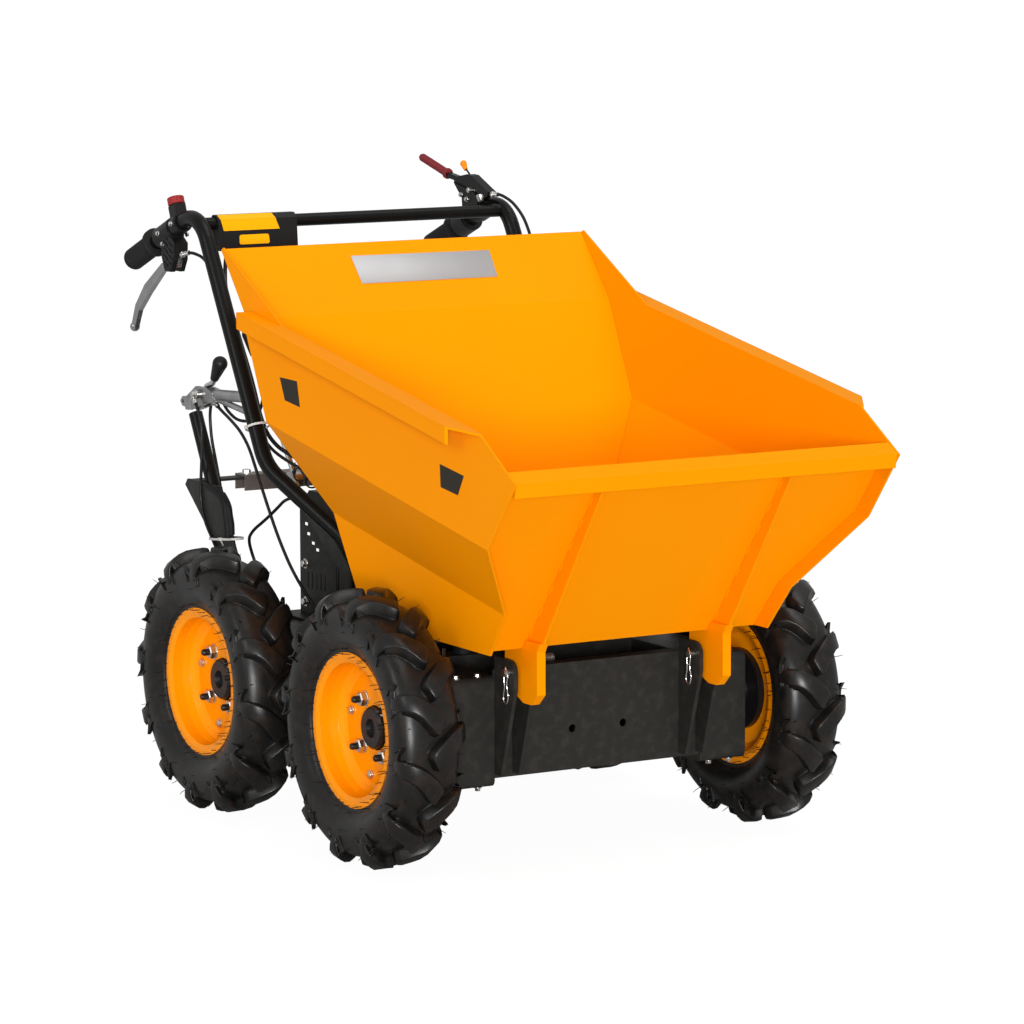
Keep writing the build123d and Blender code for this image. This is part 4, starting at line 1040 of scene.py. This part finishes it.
@dataclass
class Handles(OnChassis):
    """The grips, the bare yellow plates of the panel, the wrapped cable, ties and screws of the handles."""

    grip_x: float = 0.275
    grip_front: float = 0.548
    grip_long: float = 0.0919
    grip_r: float = 0.0180
    ribs: int = 17
    top_y: float = 0.399
    top_z: float = 0.918
    fall: float = 0.404
    panel_low: tuple[float, float] = (0.3787, 0.853)
    panel_fold: tuple[float, float] = (0.3827, 0.9010)
    panel_top: tuple[float, float] = (0.3910, 0.9083)
    large_plate: tuple[Point, ...] = (
        # right end, left end and height of its lower edge, its fold and its upper edge
        (-0.2415, -0.1435, 0.8840), (-0.2460, -0.1500, 0.9010), (-0.2480, -0.1530, 0.9083))
    small_plate: Profile = (
        (-0.2150, 0.8640), (-0.2130, 0.8620), (-0.1645, 0.8620), (-0.1620, 0.8640), (-0.1630, 0.8750),
        (-0.1650, 0.8770), (-0.2120, 0.8770), (-0.2145, 0.8750))
    wrap_outer: tuple[Point, ...] = (
        (-0.2640, 0.3979, 0.4818), (-0.2640, 0.3637, 0.4778), (-0.2640, 0.3436, 0.4627),
        (-0.2640, 0.3406, 0.4442), (-0.2640, 0.3342, 0.4276), (-0.2640, 0.3346, 0.4103))
    wrap_inner: tuple[Point, ...] = (
        (-0.2605, 0.3597, 0.4738), (-0.2605, 0.3396, 0.4607), (-0.2605, 0.3366, 0.4442),
        (-0.2605, 0.3302, 0.4296), (-0.2605, 0.3306, 0.4143))
    ties: tuple[Tie, ...] = (
        # three on the right tube, then the long one round the gear column
        Tie((-0.2715, 0.2170, 0.5960), (0.0, -0.470, -0.880), 0.0200, 0.0165, Shop.TIE,
            (-0.002, -0.006, 0.004)),
        Tie((-0.2215, 0.1630, 0.5290), (0.10, -0.90, -0.42), 0.0175, 0.0165, Shop.CABLE,
            (0.001, -0.002, 0.016)),
        Tie((-0.2120, 0.1430, 0.5200), (0.10, -0.90, -0.42), 0.0175, 0.0165, Shop.CABLE,
            (0.002, -0.004, 0.015)),
        Tie((-0.2500, 0.3680, 0.4030), (0.0, 0.10, 1.00), 0.0210, 0.0430, Shop.TIE,
            (0.001, -0.008, -0.009)))
    screws: tuple[tuple[Point, float], ...] = (
        # place, and the side it faces
        ((-0.2870, 0.5020, 0.8580), -1.0), ((-0.2925, 0.5080, 0.8740), -1.0),
        ((-0.2630, 0.4690, 0.8740), 1.0), ((0.2470, 0.4680, 0.9100), -1.0), ((0.2470, 0.4860, 0.9160), -1.0),
        ((0.2915, 0.4580, 0.8940), 1.0), ((-0.2915, 0.4640, 0.8920), -1.0), ((0.2960, 0.5180, 0.8700), 1.0))

    def build(self) -> list[bpy.types.Object]:
        """Builds the grips, the wrapped cable, the plates, the ties and the screws.

        Returns:
            The pieces.
        """
        wrap = Bench.join("wrapped_cable", [
            Bench.wire("wrap_outer", self.wrap_outer, 0.0062, Shop.SOFT_RUBBER),
            Bench.wire("wrap_inner", self.wrap_inner, 0.0058, Shop.SOFT_RUBBER)])
        way = Vector((0.0, 1.0, -self.fall)).normalized()
        y = self.grip_front
        z = self.top_z - (y - self.top_y) * self.fall
        ends = [((side * self.grip_x, y, z), way) for side in SIDES]
        grips = Bench.spread("rubber_grips", self._grip(), ends)
        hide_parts("grips")
        return [grips, wrap, self._signs(), Bench.join("cable_ties", [tie.make() for tie in self.ties]),
                Fastener(0.0060, 0.0030, 0.0042).spread(
                    "clamp_screws", [(place, (side, 0.0, 0.0)) for place, side in self.screws])]

    def _grip(self) -> bpy.types.Object:
        """Makes one ribbed rubber grip with its front flange and rolled end.

        Returns:
            The grip, upright at the origin.
        """
        r, long = self.grip_r, self.grip_long
        step = (long - 0.0120 - 0.0100) / self.ribs
        rib = [(step * 0.20, r - 0.0007), (step * 0.35, r), (step * 0.80, r), (step * 0.95, r - 0.0007)]
        rings = [(0.0, 0.0215), (0.0010, 0.0230), (0.0068, 0.0230), (0.0080, 0.0215), (0.0090, r + 0.0004),
                 (0.0120, r - 0.0006), *Bench.ribbed(0.0120, self.ribs, step, rib),
                 (long - 0.0085, r), (long - 0.0030, r), (long - 0.0008, r - 0.0012), (long, r - 0.0035),
                 (long, r - 0.0075), (long - 0.0015, r - 0.0085)]
        return Bench.turned("grip", rings, ORIGIN, UP, Shop.SOFT_RUBBER, sides=48)

    def _panel_point(self, x: float, z: float) -> Vector:
        """Point just in front of the control panel, which has a fold.

        Args:
            x: Place across the panel.
            z: Height.

        Returns:
            The point.
        """
        below = z <= self.panel_fold[1]
        (y0, z0), (y1, z1) = (self.panel_low, self.panel_fold) if below else (self.panel_fold, self.panel_top)
        return Vector((x, y0 + (z - z0) * (y1 - y0) / (z1 - z0) - 0.0002, z))

    def _signs(self) -> bpy.types.Object:
        """Lays the two bare yellow plates on the control panel; the large one goes over the fold.

        Returns:
            The joined plates.
        """
        low, fold, top = self.large_plate
        out, over = (0.0, -0.0005, 0.0), (0.0, -0.0004, 0.0004)
        plates = [([(a[0], a[2]), (a[1], a[2]), (b[1], b[2]), (b[0], b[2])], depth)
                  for a, b, depth in ((low, fold, out), (fold, top, over))]
        plates.append((self.small_plate, out))
        return Bench.join("bare_yellow_plates", [
            Bench.sheet_piece("sign", [self._panel_point(x, z) for x, z in outline], depth, Shop.SIGN_YELLOW)
            for outline, depth in plates])


# ======================================================================================
# controls
# ======================================================================================
@dataclass
class Controls(OnChassis):
    """Relief and fittings of the clutch, the brake, the stop button and the gear change."""

    sleeve_start: Point = (0.258, 0.5463, 0.9460)
    sleeve_end: Point = (0.258, 0.6360, 0.9700)
    sleeve_r: float = 0.0065
    sleeve_ribs: int = 20
    button_r: float = 0.0135
    button_along: Point = (0.0, 0.9272, -0.3746)
    button_rows: tuple[Point, ...] = (
        # height, share of the radius, depth of the flutes
        (-0.0060, 0.94, 0.0), (-0.0052, 1.0, 0.0), (-0.0030, 1.0, 0.0), (-0.0026, 0.995, 0.06),
        (0.0040, 0.995, 0.06), (0.0044, 1.0, 0.0), (0.0054, 0.97, 0.0), (0.0060, 0.88, 0.0),
        (0.0057, 0.70, 0.0))
    clamp_face: float = -0.2870
    clamp_columns: tuple[float, ...] = (0.4765, 0.4945)
    clamp_low: float = 0.8240
    clamp_step: float = 0.0105
    clamp_rib: Profile = ((-0.0070, -0.0020), (0.0070, 0.0040), (0.0070, 0.0072), (-0.0070, 0.0012))
    clamp_frame: Profile = (
        (0.4665, 0.8630), (0.4670, 0.8360), (0.4780, 0.8180), (0.4960, 0.8180), (0.5065, 0.8390),
        (0.5045, 0.8780), (0.4780, 0.8780))
    adjusters: tuple[tuple[Point, Point, float], ...] = (
        # start, direction and length of each cable end fitting
        ((-0.2752, 0.4620, 0.8428), (0.35, -0.875, 0.25), 0.017),
        ((-0.2400, 0.4230, 0.6118), (0.0, -0.91, -0.41), 0.013),
        ((-0.2600, 0.4575, 0.6170), (0.0, -0.71, -0.71), 0.013),
        ((-0.2260, 0.4572, 0.6162), (0.0, 0.35, -0.93), 0.013),
        ((-0.2260, 0.4290, 0.6188), (0.0, -0.74, -0.67), 0.011),
        ((0.2575, 0.4060, 0.9208), (0.24, -0.97, 0.06), 0.014),
        ((-0.2134, 0.3130, 0.6540), (0.0, -0.22, -0.97), 0.012))
    pins: tuple[tuple[Point, float, float], ...] = (
        # place, side and length of the levers' pivot pins
        ((-0.2835, 0.4830, 0.8280), -1.0, 0.0035), ((0.2690, 0.4610, 0.9250), 1.0, 0.0060),
        ((0.2470, 0.4610, 0.9250), -1.0, 0.0030))
    pin_r: float = 0.0045
    stop_pin: Profile = ((0.0, 0.0030), (0.0010, 0.0038), (0.0250, 0.0038), (0.0260, 0.0028))
    brake_pivot: Profile = ((0.0, 0.0060), (0.0008, 0.0066), (0.0100, 0.0050), (0.0110, 0.0040))
    bar_bolt_x: tuple[float, ...] = (-0.160, 0.160, -0.125, 0.125)

    def build(self) -> list[bpy.types.Object]:
        """Builds the sleeve, the stop button, the clamp's relief and the cables' and levers' fittings.

        Returns:
            The pieces.
        """
        sleeve = self._sleeve()
        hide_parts("lever_sleeve")
        low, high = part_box("stop_button")
        middle = Vector([(a + b) / 2 for a, b in zip(low, high)])
        button = Bench.fluted("stop_cap", middle, self.button_along, self.button_r, self.button_rows, 48,
                              Shop.RED_PLASTIC)
        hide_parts("stop_button")
        return [sleeve, button, self._clamp_ribs(), self._adjusters(), self._fittings()]

    def _sleeve(self) -> bpy.types.Object:
        """Makes the ridged red sleeve of the brake lever.

        Returns:
            The sleeve.
        """
        start, end = Vector(self.sleeve_start), Vector(self.sleeve_end)
        long, r = (end - start).length, self.sleeve_r
        step = (long - 0.0062 - 0.0040) / self.sleeve_ribs
        rib = [(step * 0.25, r - 0.0007), (step * 0.50, r + 0.0002), (step * 0.85, r + 0.0002)]
        rings = [(0.0, 0.0070), (0.0008, 0.0088), (0.0050, 0.0090), (0.0062, 0.0070),
                 *Bench.ribbed(0.0062, self.sleeve_ribs, step, rib),
                 (long - 0.0035, r - 0.0003), (long - 0.0010, r - 0.0012), (long, r - 0.0032)]
        return Bench.turned("ridged_sleeve", rings, start, end - start, Shop.SLEEVE_RED, smooth=25.0)

    def _clamp_ribs(self) -> bpy.types.Object:
        """Raises the slanted ribs and the frame round them on the clutch clamp's outer face.

        Returns:
            The joined relief.
        """
        x = self.clamp_face
        bar = [(0.0002, y, z) for y, z in self.clamp_rib]
        first = Bench.sheet_piece("clamp_rib", bar, (-0.0016, 0.0, 0.0), Shop.BLACK_PLASTIC, 0.0004)
        ribs = Bench.spread("clamp_ribs", first, [((x, y, self.clamp_low + i * self.clamp_step), UP)
                                                  for y in self.clamp_columns for i in range(5)])
        frame = Bench.wire("clamp_frame", [(x, y, z) for y, z in self.clamp_frame], 0.0012,
                           Shop.BLACK_PLASTIC, closed=True, order=2)
        return Bench.join("clutch_clamp_relief", [ribs, frame])

    def _adjusters(self) -> bpy.types.Object:
        """Makes the plated adjusters and ferrules at the cables' ends.

        Returns:
            The joined adjusters.
        """
        thread = [(0.0003, 0.0034), (0.0007, 0.0038), (0.0013, 0.0038), (0.0016, 0.0034)]
        made = []
        for start, way, long in self.adjusters:
            rings = [(0.0, 0.0042), (0.0004, 0.0050), (0.0036, 0.0050), (0.0040, 0.0042),
                     *Bench.ribbed(0.0044, 5, (long - 0.0080) / 5, thread),
                     (long - 0.0030, 0.0040), (long - 0.0004, 0.0040), (long, 0.0034)]
            made.append(Bench.turned("adjuster", rings, start, way, Shop.ZINC, sides=24, smooth=25.0))
        return Bench.join("cable_adjusters", made)

    def _fittings(self) -> bpy.types.Object:
        """Makes the levers' pivot pins, the brake's pins, the gear change's nuts and the rear bar's bolts.

        Returns:
            The joined fittings.
        """
        r = self.pin_r
        made = [Bench.turned("pin", [(-0.004, r), (long - 0.0008, r), (long, r * 0.8)], place,
                             (side, 0.0, 0.0), Shop.ZINC, sides=20) for place, side, long in self.pins]
        made += [
            Bench.turned("stop_pin", self.stop_pin, (0.2620, 0.4950, 0.8930), UP, Shop.ZINC, sides=20),
            Bench.turned("brake_pivot", self.brake_pivot, (0.2500, 0.4315, 0.9190), (0.0, -0.35, -0.94),
                         Shop.ZINC, sides=24),
            Fastener(0.0100, 0.0060, 0.0075).spread("pivot_nuts", [
                ((-0.2235, 0.4560, 0.6220), (1.0, 0.0, 0.0)), ((-0.2565, 0.4560, 0.6220), (-1.0, 0.0, 0.0))]),
            Fastener(0.0120, 0.0060, 0.0090).spread(
                "bar_bolts", [((x, 0.470, 0.4880), UP) for x in self.bar_bolt_x])]
        return Bench.join("control_fittings", made)


# ======================================================================================
# engine
# ======================================================================================
@dataclass
class Engine(OnChassis):
    """Caps, slots, pull handle, plug and bolts of the engine and its guard."""

    crank: tuple[float, float] = (0.180, 0.395)
    cap_place: Point = (0.020, 0.250, 0.5880)
    cap_r: float = 0.0280
    cap_rows: tuple[Point, ...] = (
        # height, share of the radius, depth of the flutes
        (0.0, 0.98, 0.0), (0.0010, 1.0, 0.0), (0.0030, 1.0, 0.07), (0.0100, 0.98, 0.07), (0.0120, 0.95, 0.0),
        (0.0130, 0.80, 0.0), (0.0125, 0.55, 0.0))
    seam_z: float = 0.5450
    starter_disc: Profile = (
        (-0.002, 0.0300), (0.0015, 0.0300), (0.0025, 0.0285), (0.0025, 0.0120), (0.0040, 0.0110),
        (0.0045, 0.0090))
    starter_bolt_ring: float = 0.082
    starter_bolt_x: float = 0.150
    pull_handle: Profile = (
        (0.0, 0.0040), (0.002, 0.0070), (0.008, 0.0085), (0.030, 0.0075), (0.052, 0.0085), (0.058, 0.0070),
        (0.060, 0.0040))
    louvre: float = 0.0070
    louvre_step: float = 0.0135
    louvre_edge: float = 0.016
    outlet: Profile = (
        (-0.004, 0.0100), (0.0140, 0.0100), (0.0145, 0.0096), (0.0145, 0.0080), (0.0020, 0.0078))
    filter_stud: Profile = ((-0.003, 0.0060), (0.0010, 0.0060), (0.0030, 0.0035), (0.0100, 0.0032))
    oil_plug: Profile = (
        (-0.002, 0.0120), (0.0060, 0.0115), (0.0070, 0.0150), (0.0140, 0.0150), (0.0160, 0.0120))
    guard_bolts: Profile = (
        (0.080, 0.305), (0.292, 0.305), (0.292, 0.365), (0.150, 0.458))

    def build(self) -> list[bpy.types.Object]:
        """Builds the fittings of the tank, starter, silencer, filter, guard and block.

        Returns:
            The pieces.
        """
        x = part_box("belt_guard")[0][0]
        guard = [((x, y, z), (-1.0, 0.0, 0.0)) for y, z in self.guard_bolts]
        return [self._tank(), self._starter(), self._silencer(), self._filter(),
                Fastener(0.0100, 0.0055, 0.0080).spread("belt_guard_bolts", guard), self._block()]

    def _tank(self) -> bpy.types.Object:
        """Makes the fluted filler cap and the seam round the tank.

        Returns:
            The joined cap and seam.
        """
        cap = Bench.fluted("tank_cap", Vector(self.cap_place), (0.0, 1.0, 0.0), self.cap_r, self.cap_rows, 40,
                           Shop.BLACK_PLASTIC)
        (x0, y0, _), (x1, y1, _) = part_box("fuel_tank")
        line, round_off, inset = [], 0.0150, 0.003
        for i, (x, y) in enumerate(((x0, y0), (x1, y0), (x1, y1), (x0, y1))):
            sx, sy = (1.0 if x > 0.0 else -1.0), (1.0 if y > 0.25 else -1.0)
            bend = [(x - sx * round_off, y, self.seam_z), (x - sx * inset, y - sy * inset, self.seam_z),
                    (x, y - sy * round_off, self.seam_z)]
            line += bend[::-1] if i % 2 else bend
        seam = Bench.wire("tank_seam", line, 0.0022, Shop.BLACK_PLASTIC, closed=True)
        return Bench.join("tank_fittings", [cap, seam])

    def _starter(self) -> bpy.types.Object:
        """Makes the starter's middle disc, its bolts and the pull handle.

        Returns:
            The joined fittings.
        """
        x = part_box("recoil_housing")[1][0] - 0.0005
        y, z = self.crank
        out, r = (1.0, 0.0, 0.0), self.starter_bolt_ring
        ring = [math.radians(30 + i * 60) for i in range(6)]
        bolts = [((self.starter_bolt_x, y + r * math.cos(a), z + r * math.sin(a)), out) for a in ring]
        return Bench.join("starter_fittings", [
            Bench.turned("starter_disc", self.starter_disc, (x, y, z), out, Shop.BLACK_PLASTIC, sides=40),
            Fastener(0.0080, 0.0040, 0.0060).spread("starter_bolts", bolts),
            Bench.turned("pull_handle", self.pull_handle, (0.1270, 0.1750, 0.5020), (0.0, 1.0, 0.0),
                         Shop.SOFT_RUBBER, sides=24),
            Bench.turned("pull_guide", [(0.0, 0.0100), (0.0080, 0.0090), (0.0100, 0.0070)],
                         (0.1270, 0.2050, 0.4880), UP, Shop.BLACK_PLASTIC, sides=24)])

    def _silencer(self) -> bpy.types.Object:
        """Presses the louvres of the silencer's guard and adds its outlet.

        Returns:
            The joined louvres and outlet.
        """
        low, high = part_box("muffler")
        x, y, edge = low[0], high[1] - 0.0004, self.louvre_edge
        foot, top = low[2] + edge, high[2] - edge
        bar = [(0.0, y, foot), (self.louvre, y, foot), (self.louvre, y, top), (0.0, y, top)]
        first = Bench.sheet_piece("louvre", bar, (0.0, 0.0026, 0.0), Shop.DULL_STEEL, 0.0008)
        louvres = Bench.spread("louvres", first, [((x + edge + i * self.louvre_step, 0.0, 0.0), UP)
                                                  for i in range(6)])
        outlet = Bench.turned("outlet", self.outlet, (x, 0.154, 0.545), (-1.0, 0.0, 0.0), Shop.DULL_STEEL,
                              sides=28)
        return Bench.join("silencer_guard", [louvres, outlet])

    def _filter(self) -> bpy.types.Object:
        """Makes the air filter's stud and wing nut.

        Returns:
            The joined stud and nut.
        """
        low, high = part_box("air_cleaner")
        x, y, z = (low[0] + high[0]) / 2, (low[1] + high[1]) / 2, high[2]
        made = [Bench.turned("filter_stud", self.filter_stud, (x, y, z), UP, Shop.ZINC, sides=20)]
        for side in SIDES:
            wing = [(x + side * reach, y - 0.0009, z + rise) for reach, rise in (
                (0.0, 0.0030), (0.0090, 0.0060), (0.0100, 0.0110), (0.0060, 0.0110), (0.0, 0.0080))]
            made.append(Bench.sheet_piece("wing", wing, (0.0, 0.0018, 0.0), Shop.ZINC, 0.0004))
        return Bench.join("filter_wing_nut", made)

    def _block(self) -> bpy.types.Object:
        """Makes the engine's foot bolts and its oil plug.

        Returns:
            The joined bolts and plug.
        """
        low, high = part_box("engine_block")
        inset = 0.012
        spots = [((x, y, low[2] + inset), UP)
                 for y in (0.262, 0.088) for x in (low[0] + inset, high[0] - inset)]
        return Bench.join("engine_fittings", [
            Fastener(0.0130, 0.0070, 0.0100).spread("engine_bolts", spots),
            Bench.turned("oil_plug", self.oil_plug, (0.040, 0.2550, 0.335), (0.0, 0.6, 0.8),
                         Shop.BLACK_PLASTIC, sides=24)])


# ======================================================================================
# finishes of the solids
# ======================================================================================
@dataclass
class PaintShop:
    """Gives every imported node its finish."""

    groups: dict[Shop, tuple[str, ...]] = field(default_factory=lambda: {
        # how the nodes' names start; the tip lever's grip comes before the lever
        Shop.SKIP_ORANGE: ("side_plate", "back_panel", "front_panel", "floor_panel", "front_ribs"),
        Shop.RIM_ORANGE: ("rim_",),
        Shop.TYRE: ("tyre_",),
        Shop.HUB: ("hub_", "gearbox"),
        Shop.SOFT_RUBBER: ("rest_pads", "grips", "tip_lever_grip"),
        Shop.CABLE: ("cable",),
        Shop.BLACK_PLASTIC: ("recoil_housing", "fuel_tank", "air_cleaner", "control_panel", "clutch_clamp",
                             "stop_switch", "throttle_housing", "gear_knob"),
        Shop.RED_PLASTIC: ("stop_button",),
        Shop.SLEEVE_RED: ("lever_sleeve",),
        Shop.ORANGE_PLASTIC: ("throttle_lever",),
        Shop.TUBE_BLACK: ("brake_bracket", "brake_lever", "handle_tubes", "crossbar", "shift_column"),
        Shop.LEVER_ALLOY: ("clutch_lever",),
        Shop.ALLOY: ("engine_block", "gear_bracket"),
        Shop.CHROME: ("gear_lever",),
        Shop.ZINC: ("hinge_pins", "tip_lever", "tip_bracket"),
        Shop.DULL_STEEL: ("muffler", "rear_bar")})

    def paint(self, nodes: dict[str, bpy.types.Object]) -> None:
        """Puts a finish in every node's material slots.

        Args:
            nodes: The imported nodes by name.
        """
        for name, obj in nodes.items():
            finish = next((f for f, starts in self.groups.items() if name.startswith(starts)),
                          Shop.FRAME_BLACK)
            for slot in obj.material_slots:
                slot.material = finish.material
            LOG.info("node %s: %s", name, finish.value.name)


# ======================================================================================
# studio
# ======================================================================================
@dataclass
class Studio:
    """Floor, lamps, world and camera."""

    target: Point = (0.03815, -0.02409, 0.46983)
    back: Point = (-0.50616, -0.85143, 0.13736)
    distance: float = 7.0668
    roll: float = -0.146
    focal: float = 162.9
    sensor: float = 36.0
    sight: float = 100.0
    floor_size: float = 400.0
    floor_glow: float = 1.12
    floor_share: float = 0.86
    fill: float = 0.45
    gloss_share: float = 0.15
    lamp_stand: float = 4.0
    lamps: tuple[tuple[str, Point, float, float], ...] = (
        # name, direction to the lamp, spread in degrees, strength
        ("key_lamp", (-0.45, -0.87, 0.06), 16.0, 3.20), ("top_lamp", (0.20, -0.30, 1.00), 40.0, 0.90),
        ("side_lamp", (-0.90, -0.20, 0.45), 20.0, 0.40))

    def build(self) -> None:
        """Builds the studio round the machine."""
        self._floor()
        self._world()
        self._lamps()
        self._camera()
        bpy.context.scene.view_settings.view_transform = "Standard"

    def _floor(self) -> None:
        """Lays a plain pale floor that shows as the background but keeps the shadow."""
        Bench.clear()
        bpy.ops.mesh.primitive_plane_add(size=self.floor_size, location=(0.0, 0.0, -0.0005))
        floor = Bench.settle("studio_floor", Shop.FLOOR)
        tree = Shop.FLOOR.material.node_tree
        shader = tree.nodes["Principled BSDF"]
        path = tree.nodes.new("ShaderNodeLightPath")
        glow = tree.nodes.new("ShaderNodeEmission")
        glow.inputs["Strength"].default_value = self.floor_glow
        share = tree.nodes.new("ShaderNodeMath")
        share.operation = "MULTIPLY"
        share.inputs[1].default_value = self.floor_share
        mix = tree.nodes.new("ShaderNodeMixShader")
        tree.links.new(path.outputs["Is Camera Ray"], share.inputs[0])
        tree.links.new(share.outputs["Value"], mix.inputs["Fac"])
        tree.links.new(shader.outputs["BSDF"], mix.inputs[1])
        tree.links.new(glow.outputs["Emission"], mix.inputs[2])
        tree.links.new(mix.outputs["Shader"], tree.nodes["Material Output"].inputs["Surface"])

    def _world(self) -> None:
        """Makes an even sky, white to the camera and through glass and much dimmer to all other rays."""
        world = bpy.data.worlds.new("studio_world")
        bpy.context.scene.world = world
        world.use_nodes = True
        tree = world.node_tree
        back = tree.nodes["Background"]
        back.inputs["Color"].default_value = (1.0, 1.0, 1.0, 1.0)
        path = tree.nodes.new("ShaderNodeLightPath")
        seen = path.outputs["Is Camera Ray"]
        for ray, share in (("Is Transmission Ray", 1.0), ("Is Glossy Ray", self.gloss_share)):
            part = tree.nodes.new("ShaderNodeMath")
            part.operation = "MULTIPLY"
            part.inputs[1].default_value = share
            tree.links.new(path.outputs[ray], part.inputs[0])
            either = tree.nodes.new("ShaderNodeMath")
            either.operation = "MAXIMUM"
            tree.links.new(seen, either.inputs[0])
            tree.links.new(part.outputs["Value"], either.inputs[1])
            seen = either.outputs["Value"]
        level = tree.nodes.new("ShaderNodeMapRange")
        level.inputs["To Min"].default_value = self.fill
        level.inputs["To Max"].default_value = 1.0
        tree.links.new(seen, level.inputs["Value"])
        tree.links.new(level.outputs["Result"], back.inputs["Strength"])

    def _lamps(self) -> None:
        """Sets three broad suns: the key in front, one overhead and one at the right side."""
        for name, toward, spread, strength in self.lamps:
            lamp = bpy.data.lights.new(name, "SUN")
            lamp.angle = math.radians(spread)
            lamp.energy = strength
            obj = bpy.data.objects.new(name, lamp)
            bpy.context.scene.collection.objects.link(obj)
            obj.rotation_euler = Vector(toward).to_track_quat("Z", "Y").to_euler()
            obj.location = Vector(toward) * self.lamp_stand

    def _camera(self) -> None:
        """Sets the camera on its stand."""
        data = bpy.data.cameras.new("camera")
        data.lens = self.focal
        data.sensor_width = self.sensor
        data.clip_end = self.sight
        obj = bpy.data.objects.new("camera", data)
        bpy.context.scene.collection.objects.link(obj)
        back = Vector(self.back).normalized()
        right = Vector(UP).cross(back).normalized()
        up = back.cross(right)
        turn = Matrix((right, up, back)).transposed().to_4x4()
        roll = Matrix.Rotation(math.radians(self.roll), 4, "Z")
        obj.matrix_world = Matrix.Translation(Vector(self.target) + back * self.distance) @ (turn @ roll)
        bpy.context.scene.camera = obj


def main() -> None:
    """Loads the frame, dresses each sub-assembly and reports the pieces."""
    logging.basicConfig(level=logging.INFO, format="%(name)s %(message)s")
    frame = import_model()
    Studio().build()
    PaintShop().paint(frame["nodes"])
    wheel = Wheel()
    for corner in Corner:
        for piece in wheel.dress(corner):
            LOG.info("piece %s", piece.name)
    for assembly in (SkipTrim(), Chassis(), Handles(), Controls(), Engine()):
        for piece in assembly.dress():
            LOG.info("piece %s", piece.name)


if __name__ == "__main__":
    main()
